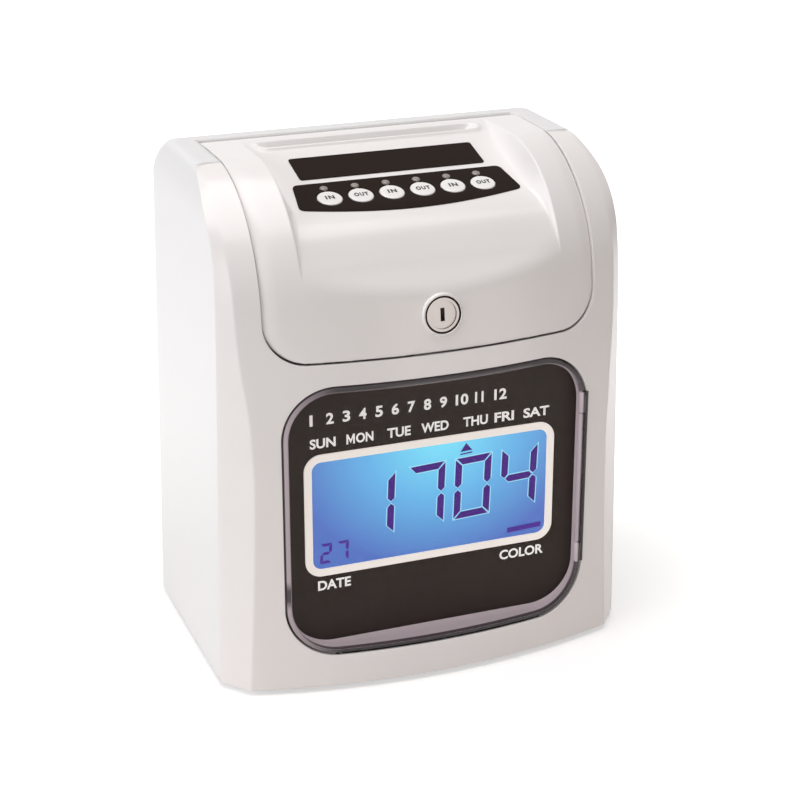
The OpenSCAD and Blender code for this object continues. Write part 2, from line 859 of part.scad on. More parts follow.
module led_lenses() color("lightgray") stand() on_deck() at_buttons()
    translate([0, led_row, button_board_z]) cylinder(r = led_r, h = overlay_t * 2 - button_board_z);

// A mode button: a cap through the deck, a flange below it and a stem over its switch
module mode_button(i) color("white") stand() on_deck() translate([button_x(i), 0, 0]) {
    flange_top = -wall - clear;
    rotate_extrude() polygon([
        [0, flange_top - button_flange_t - stem_l], [stem_r, flange_top - button_flange_t - stem_l],
        [stem_r, flange_top - button_flange_t], [button_flange_r, flange_top - button_flange_t],
        [button_flange_r, flange_top], [button_r, flange_top], [button_r, button_h - button_dome],
        [button_r - button_dome, button_h], [0, button_h]]);
}

module mode_button_1() mode_button(0);
module mode_button_2() mode_button(1);
module mode_button_3() mode_button(2);
module mode_button_4() mode_button(3);
module mode_button_5() mode_button(4);
module mode_button_6() mode_button(5);

module lock_body() color("silver") stand() at_lock() difference() {
    union() {
        cylinder(r = lock_ring_r, h = lock_flange_t);
        translate([0, 0, -lock_l]) cylinder(r = lock_barrel_r, h = lock_l);
    }
    translate([0, 0, -lock_l - past]) cylinder(r = lock_plug_r + run, h = lock_l + 2 * past);
}

module lock_nut() color("silver") stand() at_lock()
    translate([0, 0, -wall - lock_nut_set - lock_nut_t]) difference() {
        cylinder(r = lock_nut_r, h = lock_nut_t, $fn = 6);
        translate([0, 0, -seam]) cylinder(r = lock_barrel_r + snug, h = lock_nut_t + 2 * seam);
    }

module lock_plug() color("gainsboro") stand() at_lock() difference() {
    union() {
        translate([0, 0, -lock_l]) cylinder(r = lock_plug_r, h = lock_l + lock_flange_t / 2);
        translate([0, 0, -lock_l - clear - cam_t]) cylinder(r = lock_tail_r, h = cam_t + clear + seam);
    }
    translate([-keyway_w / 2, -keyway_h / 2, lock_flange_t / 2 - keyway_d])
        cube([keyway_w, keyway_h, keyway_d + seam]);
}

module lock_cam() color("silver") stand() at_lock()
    translate([0, 0, -lock_l - clear - cam_t]) linear_extrude(cam_t) difference() {
        union() {
            circle(cam_w / 2 + 1);
            translate([cam_w / 2 - cam_l, 0]) circle(cam_w / 2);
            translate([cam_w / 2 - cam_l, -cam_w / 2]) square([cam_l - cam_w / 2, cam_w]);
        }
        circle(lock_tail_r + snug);
    }

// One mechanism plate with its bent foot, on the +X side
module mechanism_plate() difference() {
    union() {
        across(plate_x, plate_x + plate_t)
            translate([plate_low_y, base_t]) square([plate_high_y - plate_low_y, plate_top - base_t]);
        translate([plate_x, plate_low_y, base_t])
            cube([plate_foot + plate_t, plate_high_y - plate_low_y, plate_t]);
    }
    plate_hole(feed_y, feed_z, feed_shaft_r + run);
    plate_hole(pinch_y, feed_z, pinch_shaft_r + run);
    for (y = rod_y) plate_hole(y, rod_z, rod_r + snug);
    for (p = tie_places) plate_hole(p[0], p[1], tie_r + snug);
    plate_hole(motor_y, motor_z, motor_hole_r);
}

module plate_hole(y, z, r) bar(plate_x - seam, plate_x + plate_t + seam, y, z, r);

module left_plate() color("lightsteelblue") stand() mirror([1, 0, 0]) mechanism_plate();

module right_plate() color("lightsteelblue") stand() mechanism_plate();

module tie_rods() color("silver") stand() {
    for (p = tie_places) bar(-plate_x - plate_t, plate_x + plate_t, p[0], p[1], tie_r);
}

// A plate across the chute, with windows for the two roller pairs and the print line
module chute_plate(y0) difference() {
    translate([-plate_x, y0, chute_low]) cube([frame_gap, chute_t, chute_top - chute_low]);
    for (x = [-roller_x, roller_x])
        translate([x - roller_l / 2 - roller_window, y0 - seam, feed_z - feed_roller_r - roller_window])
            cube([roller_l + 2 * roller_window, chute_t + 2 * seam, 2 * (feed_roller_r + roller_window)]);
    translate([print_window_in - slot_w / 2, y0 - seam, print_z - band_h / 2])
        cube([slot_w - 2 * print_window_in, chute_t + 2 * seam, band_h]);
}

module chute_front() color("silver") stand() chute_plate(chute_front_y - chute_t);

module chute_back() color("silver") stand() chute_plate(chute_back_y);

module card_stop() color("gray") stand() difference() {
    translate([-plate_x, chute_front_y, card_stop_z]) cube([frame_gap, slot_gap, card_stop_h]);
    translate([-slot_w / 2, chute_front_y - seam, card_stop_z + card_stop_h / 2])
        cube([slot_w, slot_gap + 2 * seam, card_stop_h]);
}

module platen_bar() color("dimgray") stand()
    translate([-plate_x, chute_back_y + chute_t, print_z - platen_h / 2])
        cube([frame_gap, platen_d, platen_h]);

module feed_shaft() color("silver") stand()
    bar(-plate_x - plate_t - shaft_over, plate_x + plate_t + shaft_out, feed_y, feed_z, feed_shaft_r);

// The pair of rubber sleeves on a shaft
module roller_pair(y, shaft_r, r) {
    for (x = [-roller_x, roller_x]) difference() {
        bar(x - roller_l / 2, x + roller_l / 2, y, feed_z, r);
        bar(x - roller_l, x + roller_l, y, feed_z, shaft_r + snug);
    }
}

module feed_rollers() color("black") stand() roller_pair(feed_y, feed_shaft_r, feed_roller_r);

module pinch_roller() color("dimgray") stand() {
    bar(-plate_x - plate_t - shaft_over, plate_x + plate_t + seam, pinch_y, feed_z, pinch_shaft_r);
    for (x = [-roller_x, roller_x]) bar(x - roller_l / 2, x + roller_l / 2, pinch_y, feed_z, pinch_roller_r);
}

// Angle that an involute has unwound at radius r from a base circle, in degrees
function unwound(base, r) = r <= base ? 0 : tan(acos(base / r)) * 180 / PI - acos(base / r);

// Half the angle that a tooth fills at radius r
function tooth_half(teeth, r) =
    let (pitch = gear_module * teeth / 2, base = pitch * cos(pressure_angle))
    90 / teeth - backlash / 2 / pitch * 180 / PI / 2 + unwound(base, pitch) - unwound(base, r);

// A spur gear about Z, with a tooth on its +X side
module spur_gear(teeth, bore) {
    pitch = gear_module * teeth / 2;
    radii = [for (t = [0 : 0.2 : 1])
        pitch - gear_dedendum * gear_module + t * (gear_dedendum + gear_addendum) * gear_module];
    linear_extrude(gear_w) difference() {
        polygon([for (k = [0 : teeth - 1], flank = [-1, 1], i = [0 : 5])
            let (r = radii[flank < 0 ? i : 5 - i], a = k * 360 / teeth + flank * tooth_half(teeth, r))
            [r * cos(a), r * sin(a)]]);
        circle(bore);
    }
}

module feed_gear() color("ivory") stand() translate([gear_x, feed_y, feed_z]) rotate([90, 0, 90])
    rotate(180 + mesh_angle) spur_gear(feed_teeth, feed_shaft_r + snug);

module motor_pinion() color("goldenrod") stand() {
    translate([gear_x, motor_y, motor_z]) rotate([90, 0, 90])
        rotate(mesh_angle + 180 / pinion_teeth) spur_gear(pinion_teeth, motor_shaft_r);
    bar(plate_x - motor_shaft_in, gear_x + gear_w, motor_y, motor_z, motor_shaft_r);
}

module feed_motor() color("silver") stand() difference() {
    bar(plate_x - motor_l, plate_x, motor_y, motor_z, motor_r);
    bar(plate_x - motor_shaft_in - seam, plate_x + seam, motor_y, motor_z, motor_shaft_r + run);
}

module guide_rods() color("silver") stand() {
    for (y = rod_y) bar(-plate_x - plate_t, plate_x + plate_t, y, rod_z, rod_r);
}

module print_carriage() color("darkslategray") stand() difference() {
    belt_y = pulley_y + pulley_r + belt_fit;
    belt_top = belt_low + belt_h + clear;
    union() {
        translate([-carriage_w / 2, carriage_low_y, rod_z - carriage_h / 2])
            cube([carriage_w, carriage_high_y - carriage_low_y, carriage_h]);
        translate([-clip_w / 2, belt_y - clear - clip_t, belt_top])
            cube([clip_w, carriage_low_y - belt_y + clear + clip_t, clip_t]);
        translate([-clip_w / 2, belt_y - clear - clip_t, belt_low])
            cube([clip_w, clip_t, belt_top - belt_low + clip_t]);
    }
    for (y = rod_y) bar(-carriage_w, carriage_w, y, rod_z, rod_r + run);
}

module print_head() color("gray") stand() {
    translate([-head_w / 2, carriage_high_y, rod_z - carriage_h / 2])
        cube([head_w, head_front_y - nose_l - carriage_high_y, carriage_h]);
    translate([-nose_w / 2, head_front_y - nose_l, rod_z - nose_h / 2]) cube([nose_w, nose_l, nose_h]);
}

module carriage_shelf() color("lightsteelblue") stand() {
    difference() {
        translate([-plate_x, shelf_low_y, shelf_z]) cube([frame_gap, shelf_high_y - shelf_low_y, shelf_t]);
        translate([-pulley_x, pulley_y, shelf_z - seam]) cylinder(r = pulley_post_r * 2, h = shelf_t * 2);
    }
    translate([pulley_x, pulley_y, shelf_z]) cylinder(r = pulley_post_r, h = shelf_t + belt_h + post_over);
}

module carriage_motor() color("silver") stand()
    translate([-pulley_x, pulley_y, shelf_z - carriage_motor_h]) difference() {
        cylinder(r = carriage_motor_r, h = carriage_motor_h);
        translate([0, 0, carriage_motor_h - motor_shaft_in])
            cylinder(r = pulley_post_r + run, h = motor_shaft_in + seam);
    }

// A flanged belt pulley about Z
module pulley() {
    cylinder(r = pulley_r, h = belt_h + 2 * clear);
    for (z = [-pulley_flange_t, belt_h + 2 * clear]) translate([0, 0, z])
        cylinder(r = pulley_flange_r, h = pulley_flange_t);
}

module drive_pulley() color("ivory") stand() translate([-pulley_x, pulley_y, belt_low - clear]) {
    pulley();
    shaft_low = shelf_z - belt_low + clear - motor_shaft_in + seam;
    translate([0, 0, shaft_low]) cylinder(r = pulley_post_r, h = -shaft_low);
}

module idler_pulley() color("ivory") stand() translate([pulley_x, pulley_y, belt_low - clear]) difference() {
    pulley();
    translate([0, 0, -past / 2]) cylinder(r = pulley_post_r + run, h = past);
}

module belt_loop(r) {
    for (x = [-pulley_x, pulley_x]) translate([x, 0]) circle(r);
    translate([-pulley_x, -r]) square([2 * pulley_x, 2 * r]);
}

module carriage_belt() color("black") stand() translate([0, pulley_y, belt_low]) linear_extrude(belt_h)
    difference() {
        belt_loop(pulley_r + belt_fit + belt_t);
        belt_loop(pulley_r + belt_fit);
    }

module ribbon_cartridge() color("darkslategray") stand() difference() {
    union() {
        translate([-cartridge_w / 2, cartridge_low_y, cartridge_low])
            cube([cartridge_w, cartridge_high_y - cartridge_low_y, cartridge_h]);
        translate([-plate_x, knob_y - cartridge_ear, cartridge_low])
            cube([frame_gap, 2 * cartridge_ear, cartridge_ear]);
        for (side = [0, 1]) mirror([side, 0, 0])
            translate([cartridge_w / 2 - arm_w, band_y + band_t - arm_d, print_z - band_h / 2])
                cube([arm_w, arm_d, cartridge_low - print_z + band_h / 2 + cartridge_ear]);
    }
    translate([knob_x, knob_y, cartridge_low + cartridge_h / 2])
        cylinder(r = knob_shaft_r + run, h = cartridge_h);
}

module ribbon_band() color("midnightblue") stand()
    translate([arm_w - cartridge_w / 2, band_y, print_z - band_h / 2])
        cube([cartridge_w - 2 * arm_w, band_t, band_h]);

module ribbon_knob() color("slategray") stand() translate([knob_x, knob_y, cartridge_low + cartridge_h]) {
    translate([0, 0, clear]) cylinder(r = knob_r, h = knob_h);
    translate([-knob_grip_l / 2, -knob_grip_w / 2, clear + knob_h])
        cube([knob_grip_l, knob_grip_w, knob_grip_h]);
    translate([0, 0, -cartridge_h / 2 + clear]) cylinder(r = knob_shaft_r, h = cartridge_h / 2);
}

module transformer() color("sienna") stand() translate([transformer_at[0], transformer_at[1], base_t]) {
    cube(transformer_size);
    translate([transformer_size[0] / 4, -coil_out, transformer_size[2] / 4])
        cube([transformer_size[0] / 2, transformer_size[1] + 2 * coil_out, transformer_size[2] / 2]);
}

module power_board() color("darkgreen") stand() translate([power_board_at[0], power_board_at[1], base_t]) {
    translate([0, 0, standoff_h]) cube([power_board_size[0], power_board_size[1], board_t]);
    for (x = [boss_r, power_board_size[0] - boss_r], y = [boss_r, power_board_size[1] - boss_r])
        translate([x, y, 0]) cylinder(r = boss_r, h = standoff_h);
    for (x = [1, 3]) translate([x * power_board_size[0] / 4, power_board_size[1] / 2, standoff_h + board_t])
        cylinder(r = capacitor_r, h = capacitor_h);
}

module main_board() color("darkgreen") stand() difference() {
    board_y = back_y - wall - main_board_off - board_t;
    union() {
        translate([-main_board_w / 2, board_y, main_board_low])
            cube([main_board_w, board_t, main_board_high - main_board_low]);
        translate([main_board_w / 4, board_y, main_board_low + main_board_w / 4])
            rotate([90, 0, 0]) cylinder(r = buzzer_r, h = buzzer_h);
    }
    at_main_board() cylinder(r = screw_r + snug, h = past);
}

module power_inlet() color("black") stand() translate([inlet_x, back_y, inlet_z]) rotate([90, 0, 0]) {
    difference() {
        union() {
            cylinder(r = inlet_r, h = inlet_l);
            translate([0, 0, wall]) cylinder(r = inlet_flange_r, h = wall);
        }
        translate([0, 0, -seam]) cylinder(r = inlet_r - inlet_wall, h = inlet_l - wall);
    }
    cylinder(r = inlet_pin_r, h = inlet_l - wall);
}

rear_casing();
front_bezel();
base_plate();
rubber_feet();
case_screws();
display_fascia();
lcd_frame();
lcd_glass();
lcd_backlight();
display_board();
display_screws();
door_hinge_pin();
clear_door();
lock_keeper();
top_lid();
lid_hinge_pins();
strip_label();
button_overlay();
button_board();
board_screws();
led_lenses();
mode_button_1();
mode_button_2();
mode_button_3();
mode_button_4();
mode_button_5();
mode_button_6();
lock_body();
lock_nut();
lock_plug();
lock_cam();
left_plate();
right_plate();
tie_rods();
chute_front();
chute_back();
card_stop();
platen_bar();
feed_shaft();
feed_rollers();
feed_gear();
pinch_roller();
feed_motor();
motor_pinion();
guide_rods();
print_carriage();
print_head();
carriage_shelf();
carriage_motor();
drive_pulley();
idler_pulley();
carriage_belt();
ribbon_cartridge();
ribbon_band();
ribbon_knob();
transformer();
power_board();
main_board();
power_inlet();
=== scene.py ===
from math import cos, pi, radians, sin, tan

import bpy
import numpy as np
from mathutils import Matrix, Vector


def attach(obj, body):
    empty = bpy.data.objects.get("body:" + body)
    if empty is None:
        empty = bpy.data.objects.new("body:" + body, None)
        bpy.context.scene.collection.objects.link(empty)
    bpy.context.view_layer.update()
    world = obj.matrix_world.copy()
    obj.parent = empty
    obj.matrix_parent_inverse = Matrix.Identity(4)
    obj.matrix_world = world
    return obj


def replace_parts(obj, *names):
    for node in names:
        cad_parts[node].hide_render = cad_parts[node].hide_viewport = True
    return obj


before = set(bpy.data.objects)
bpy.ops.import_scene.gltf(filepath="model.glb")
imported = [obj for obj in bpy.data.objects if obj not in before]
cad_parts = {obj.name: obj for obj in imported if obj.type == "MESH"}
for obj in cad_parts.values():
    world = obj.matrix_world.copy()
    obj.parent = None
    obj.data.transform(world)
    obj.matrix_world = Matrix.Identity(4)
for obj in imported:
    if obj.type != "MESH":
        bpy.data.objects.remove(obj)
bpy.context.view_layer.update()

scene = bpy.context.scene
scene.view_settings.view_transform = "Standard"


# Studio. The clock stands on a plain white table before a white wall, under soft boxes at the left, the
# left front, above and low in front. The camera looks down on its front and left side.
def add_object(name, data):
    """Puts a mesh, lamp, camera or text into the scene as an object."""
    made = bpy.data.objects.new(name, data)
    scene.collection.objects.link(made)
    return made


camera_data = bpy.data.cameras.new("camera")
camera_data.lens = 87.44
camera_data.sensor_width = 36.0
camera_data.clip_start = 0.05
camera = add_object("camera", camera_data)
camera.location = (-0.27725, -0.72834, 0.41042)
camera.rotation_euler = (radians(90 - 21.56), 0, radians(-21.09))
scene.camera = camera


def set_inputs(tree, node, inputs):
    """Gives inputs of a shader node, by name or number, a value, an output, or the first output of a node."""
    for key, value in inputs.items():
        if isinstance(value, bpy.types.Node):
            value = value.outputs[0]
        if isinstance(value, bpy.types.NodeSocket):
            tree.links.new(value, node.inputs[key])
        else:
            node.inputs[key].default_value = value


def add_node(tree, kind, inputs, operation=None):
    """Adds a shader node of a kind, with its operation and its inputs."""
    node = tree.nodes.new("ShaderNode" + kind)
    if operation:
        node.operation = operation
    set_inputs(tree, node, inputs)
    return node


def colour_ramp(tree, share, *stops):
    """Adds a node that turns a share into a colour, between stops of a place and a colour."""
    node = add_node(tree, "ValToRGB", {"Fac": share})
    elements = node.color_ramp.elements
    for element, (place, colour) in zip(elements, (stops[0], stops[-1])):
        element.position = place
        element.color = (*colour, 1.0)
    for place, colour in stops[1:-1]:
        elements.new(place).color = (*colour, 1.0)
    return node


def white_behind(tree, seen, lit):
    """Mixes two shaders: seen for rays from the camera, through glass and off gloss, lit for all others."""
    path = add_node(tree, "LightPath", {}).outputs
    clear = add_node(tree, "Math", {0: path["Is Camera Ray"], 1: path["Is Transmission Ray"]}, "MAXIMUM")
    either = add_node(tree, "Math", {0: clear, 1: path["Is Glossy Ray"]}, "MAXIMUM")
    return add_node(tree, "MixShader", {0: either, 1: lit, 2: seen})


world = bpy.data.worlds.new("studio")
world.use_nodes = True
scene.world = world
world_tree = world.node_tree
world_tree.nodes.clear()
world_seen = add_node(world_tree, "Background", {"Color": (1.0, 1.0, 1.0, 1.0)})
world_lit = add_node(world_tree, "Background", {"Color": (1.0, 0.93, 0.9, 1.0), "Strength": 0.21})
add_node(world_tree, "OutputWorld", {"Surface": white_behind(world_tree, world_seen, world_lit)})


def soft_box(name, place, aim, size, watts, tint):
    """A square lamp at place that faces aim."""
    lamp = bpy.data.lights.new(name, "AREA")
    lamp.size = size
    lamp.energy = watts
    lamp.color = tint
    lamp_object = add_object(name, lamp)
    lamp_object.location = place
    way = Vector(aim) - Vector(place)
    lamp_object.rotation_euler = way.to_track_quat("-Z", "Y").to_euler()


soft_box("left box", (-1.35, 0.2, 0.55), (0, 0, 0.1), 1.0, 5.1, (0.94, 0.97, 1.0))
soft_box("left front box", (-1.35, -0.5, 0.5), (0, 0, 0.1), 1.0, 6.0, (0.985, 0.985, 1.0))
soft_box("top box", (-0.1, -0.05, 1.35), (0, 0, 0.15), 1.1, 11.2, (1.0, 0.98, 0.975))
soft_box("low box", (0.2, -0.48, 0.05), (0, 0, 0.02), 0.3, 0.36, (1.0, 0.94, 0.9))

floor_mesh = bpy.data.meshes.new("floor")
floor_mesh.from_pydata([(-6, -6, 0), (6, -6, 0), (6, 6, 0), (-6, 6, 0)], [], [(0, 1, 2, 3)])
floor = add_object("floor", floor_mesh)
floor_look = bpy.data.materials.new("white table")
floor_look.use_nodes = True
floor_tree = floor_look.node_tree
floor_tree.nodes.clear()
floor_place = add_node(floor_tree, "TexCoord", {}).outputs["Object"]
floor_far = add_node(floor_tree, "VectorMath", {0: floor_place}, "LENGTH").outputs["Value"]
floor_edge = colour_ramp(floor_tree, floor_far, (0.25, (0.88, 0.83, 0.8)), (0.75, (0.2, 0.2, 0.2)))
floor_edge.color_ramp.interpolation = "EASE"
floor_lit = add_node(floor_tree, "BsdfDiffuse", {"Color": floor_edge})
floor_fade = add_node(floor_tree, "MapRange", {
    "Value": floor_far, "From Min": 0.08, "From Max": 0.34, "To Min": 0.42, "To Max": 1.0})
floor_fade.interpolation_type = "SMOOTHSTEP"
floor_glow = add_node(floor_tree, "Emission", {"Strength": floor_fade})
floor_grey = add_node(floor_tree, "BsdfDiffuse", {"Color": (0.8, 0.8, 0.8, 1.0)})
floor_seen = add_node(floor_tree, "AddShader", {0: floor_grey, 1: floor_glow})
add_node(floor_tree, "OutputMaterial", {"Surface": white_behind(floor_tree, floor_seen, floor_lit)})
floor_mesh.materials.append(floor_look)

# Front bezel. The bowed front frame of the case, moulded in glossy white plastic with a warm cast. It runs
# around the display window and over the shoulders, and its cut corners meet the rear casing at a fine seam.
# All sizes are in millimetres above the case's foot, which the rubber feet lift off the table.
MM = 0.001
LIFT = 2.5
FRONT_Y, BOW_HALF, BOW_RISE = -61.0, 80.0, 11.5
BOW_R = (BOW_HALF ** 2 + BOW_RISE ** 2) / (2 * BOW_RISE)
BOW_Y = BOW_R + FRONT_Y
TOP_Z = 211.5
LINE_START = -4.0
LEAN, LEAN_Z, LEAN_R = radians(7), 116.0, 200.0
CROWN_BACK, CROWN_Z, CROWN_R = 59.5, 157.5, 54.0
WINDOW = dict(half_x=67.0, low=14.0, high=132.5, radius=22.5)
HATCH = dict(half_x=71.7, low=141.3, high=900.0, radius=16.5)
TINY = 1e-9


def turn(centre_back, centre_z, radius, start, stop):
    """Points of an arc in the middle plane, as back and height, a quarter of a millimetre apart."""
    steps = max(int(abs(stop - start) * radius * 4), 4)
    angle = np.linspace(start, stop, steps)
    return np.stack([centre_back + radius * np.cos(angle), centre_z + radius * np.sin(angle)], axis=1)


def lengths(line):
    """Length along a line at each of its points, from zero at the first."""
    return np.r_[0, np.cumsum(np.linalg.norm(np.diff(line, axis=0), axis=1))]


lean_start = LEAN_Z - LEAN_R * tan(LEAN / 2)
front_line = np.concatenate([
    np.stack([np.zeros(300), np.linspace(LINE_START, lean_start, 300)], axis=1),
    turn(LEAN_R, lean_start, LEAN_R, pi, pi - LEAN),
    turn(CROWN_BACK, CROWN_Z, CROWN_R, pi - LEAN, pi / 2),
    np.stack([np.linspace(59.6, 120, 240), np.full(240, TOP_Z)], axis=1)])
front_length = lengths(front_line) + LINE_START
CLIMB = slice(None, -200)


def along_at(z):
    """Length along the middle line at a height, on the part of it that climbs."""
    return np.interp(z, front_line[CLIMB, 1], front_length[CLIMB])


def points_of(x, y, z):
    """Points from x, y and z, each repeated to the shape that the three share."""
    return np.stack(np.broadcast_arrays(x, y, z), axis=-1)


def case_front(x, along):
    """Points on the bowed front and top: the middle line at a length, turned about the bow's upright axis."""
    back = np.interp(along, front_length, front_line[:, 0])
    z = np.interp(along, front_length, front_line[:, 1])
    return points_of(x, BOW_Y - np.sqrt((BOW_R - back) ** 2 - x ** 2), z)


def rounded_gap(x, z, half_x, low, high, radius):
    """Signed distance to a rectangle with round corners, negative inside, and its outward way in x and z."""
    mid = (low + high) / 2
    qx = np.abs(x) - (half_x - radius)
    qz = np.abs(z - mid) - ((high - low) / 2 - radius)
    px, pz = np.maximum(qx, 0), np.maximum(qz, 0)
    reach = np.hypot(px, pz)
    inside = np.minimum(np.maximum(qx, qz), 0)
    corner = reach > 0
    nx = np.where(corner, px / np.maximum(reach, TINY), (qx >= qz) * 1.0) * np.sign(x)
    nz = np.where(corner, pz / np.maximum(reach, TINY), (qx < qz) * 1.0) * np.sign(z - mid)
    return reach + inside - radius, nx, nz


def fours(grid):
    """Sum of every four neighbours in a grid."""
    return grid[:-1, :-1] + grid[1:, :-1] + grid[:-1, 1:] + grid[1:, 1:]


def snap(x, z, gap, nx, nz):
    """Keeps the cells of a grid whose middles lie outside a gap, and moves the corners at its rim onto it."""
    keep = fours(gap) > 0
    near = fours(np.pad(keep, 1, mode="edge").astype(int))
    rim = (near > 0) & (near < 4)
    return np.where(rim, x - gap * nx, x), np.where(rim, z - gap * nz, z), keep


def grid_quads(keep):
    """Quads between neighbouring rows and columns of a grid, in the cells that keep marks."""
    rows, columns = np.array(keep.shape) + 1
    n = np.arange(rows * columns).reshape(rows, columns)
    return np.stack([n[:-1, :-1], n[:-1, 1:], n[1:, 1:], n[1:, :-1]], axis=-1)[keep]


def put_mesh(name, points, faces):
    """Makes an object from points in millimetres above the case's foot, without those that no face uses."""
    points = np.asarray(points, float).reshape(-1, 3)
    used, faces = np.unique(np.asarray(faces), return_inverse=True)
    points = (points[used] + (0, 0, LIFT)) * MM
    mesh = bpy.data.meshes.new(name)
    mesh.from_pydata(points.tolist(), [], faces.reshape(-1, 4).tolist())
    mesh.validate()
    mesh.polygons.foreach_set("use_smooth", np.ones(len(mesh.polygons), bool))
    mesh.update()
    return add_object(name, mesh)


def moulded_wall(made, thickness, edge=0.0):
    """Gives a skin a wall behind it and rounds its rims."""
    solid = made.modifiers.new("wall", "SOLIDIFY")
    solid.thickness = thickness * MM
    solid.offset = -1.0
    if edge > 0:
        bevel = made.modifiers.new("rim", "BEVEL")
        bevel.width = edge * MM
        bevel.segments = 2
        bevel.limit_method = "ANGLE"
        bevel.angle_limit = radians(50)


FOOT_HALF, DRAFT = 91.0, 0.0225
WALL, RIM_R = 2.4, 0.3
SHOULDER_Z = 190.0
SHOULDER = np.array([(0.0, SHOULDER_Z), (0.0, 194.0), (0.1, 197.0), (0.5, 200.5), (1.7, 205.5), (3.1, 209.6),
                     (4.5, 211.2), (7.0, TOP_Z)])
BEZEL_END = 3.5
SEAM_LEVEL, SEAM_TOP = 116.0, 211.2
ROUND_IN, ROUND_OUT = 0.7, 0.9
STRETCH_FROM, STRETCH_TO = 72.0, 80.0
edge_z = np.linspace(-6, 218, 449)


def side_x(z):
    """Half width of the case at a height: a straight draft, less the slope of the shoulder."""
    return FOOT_HALF - DRAFT * z - np.interp(z, SHOULDER[:, 1], SHOULDER[:, 0])


def smooth_line(heights, values, reach):
    """Values at all the heights of edge_z, straight between the given ones, then rounded off over a reach."""
    line = np.interp(edge_z, heights, values)
    blur = np.exp(-np.linspace(-2, 2, 2 * reach + 1) ** 2)
    return np.convolve(np.pad(line, reach, mode="edge"), blur / blur.sum(), mode="valid")


edge_x = smooth_line([0, 33, 69, 95, 121, 133, 146, 160, 175, 185, 196, 202, 206, 211.5],
                     [81.4, 79.7, 78.2, 77.7, 78.7, 80.2, 81.4, 81.8, 82.0, 82.1, 82.4, 82.5, 82.2, 80.6], 20)
seam_back = smooth_line(
    [140, 150, 160, 170, 180, 185, 190, 195, 200, 204, 207, 209.4, 211.2, 218],
    [-37.2, -37.1, -36.7, -36.0, -34.4, -32.5, -29.6, -25.2, -19.3, -13.2, -7.0, -1.0, 3.5, 20.5], 8)


def seam_y(z):
    """Where the bezel ends on the side at a height: upright at first, then a full round over the shoulder."""
    return np.minimum(np.interp(z, edge_z, seam_back), BEZEL_END)


def both_sides(half):
    """A row of x from its right half, which starts at zero."""
    return np.r_[-half[:0:-1], half]


columns = both_sides(np.r_[
    np.arange(0, 42, 3.0), np.arange(42, 66.9, 0.7), 67.0, 67.8, 68.7, 69.6, 70.5, 71.2, 71.7,
    np.linspace(STRETCH_FROM, STRETCH_TO, 7)])
row_z = np.r_[
    0, 0.5, 1.2, 2.5, 4.5, np.arange(7, 13.5, 2.2), np.arange(14, 40, 0.7), np.arange(41.5, 112, 2.5),
    np.arange(112.2, 132.4, 0.7), 132.5, 133.2, 134.2, 135.5, 137.0, 138.5, 139.8, 140.7, 141.3,
    np.arange(142.0, 160.5, 0.7)]
X, Z = np.meshgrid(columns, row_z)
window, wx, wz = rounded_gap(X, Z, **WINDOW)
hatch, hx, hz = rounded_gap(X, Z, **HATCH)
nearer = window < hatch
X, Z, keep_low = snap(X, Z, np.where(nearer, window, hatch), np.where(nearer, wx, hx),
                      np.where(nearer, wz, hz))


def spread(x, z):
    """Stretches the outer columns so that the last one follows the edge of the corner."""
    edge = np.interp(z, edge_z, edge_x) - ROUND_IN
    past = (np.abs(x) - STRETCH_FROM) / (STRETCH_TO - STRETCH_FROM)
    return np.where(past > 0, np.sign(x) * (STRETCH_FROM + past * (edge - STRETCH_FROM)), x)


along_low = along_at(Z)
low_part = case_front(spread(X, Z), along_low)
start = along_low[-1]
rise = np.linspace(0, 1, 56)[1:, None]
even_x = np.tile(columns, (len(rise), 1))
upper_x = even_x
for _ in range(3):
    end_back = BOW_R - np.hypot(BOW_Y - BEZEL_END, upper_x)
    end_along = np.interp(end_back, front_line[:, 0], front_length)
    upper_along = start + (end_along - start) * rise
    upper_z = np.interp(upper_along, front_length, front_line[:, 1])
    upper_x = spread(even_x, upper_z)
strip = np.concatenate([low_part, case_front(upper_x, upper_along)])
beside = np.abs(columns[:-1] + columns[1:]) / 2 > HATCH["half_x"]
keep_strip = np.concatenate([keep_low, np.tile(beside, (len(rise), 1))])


def corner_band(side):
    """The cut corner on one side: a rounded edge off the front, then a flat to the seam with the casing."""
    inner = strip[:, -1 if side > 0 else 0]
    lead = inner - strip[:, -2 if side > 0 else 1]
    corner = inner + lead / np.linalg.norm(lead, axis=1, keepdims=True) * ROUND_IN
    z = corner[:, 2]
    low = z <= SEAM_LEVEL
    far_z = np.where(low, z, 0.0)
    seam_z = np.r_[np.linspace(SEAM_LEVEL, 209.4, 400), np.linspace(209.5, SEAM_TOP, 20)]
    path_length = lengths(points_of(side_x(seam_z), seam_y(seam_z), seam_z))
    high_length = lengths(corner[~low])
    far_z[~low] = np.interp(high_length / high_length[-1] * path_length[-1], path_length, seam_z)
    far = points_of(side * side_x(far_z), seam_y(far_z), far_z)
    across = far - corner
    width = np.linalg.norm(across, axis=1, keepdims=True)
    soft = corner + across * np.minimum(ROUND_OUT / width, 0.4)
    t = np.linspace(0, 1, 6)[1:, None, None]
    bend = (1 - t) ** 2 * inner + 2 * t * (1 - t) * corner + t ** 2 * soft
    u = np.linspace(0, 1, 7)[1:, None, None]
    flat = soft + (far - soft) * u
    return np.concatenate([bend, flat]).transpose(1, 0, 2)


right_band = corner_band(1)
left_band = corner_band(-1)[:, ::-1]
skin = np.concatenate([left_band, strip, right_band], axis=1)
keep_band = np.ones((skin.shape[0] - 1, right_band.shape[1]), bool)
keep = np.concatenate([keep_band, keep_strip, keep_band], axis=1)
bezel = put_mesh("front_bezel_skin", skin, grid_quads(keep))
moulded_wall(bezel, WALL, RIM_R)
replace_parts(bezel, "front_bezel")
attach(bezel, "case")


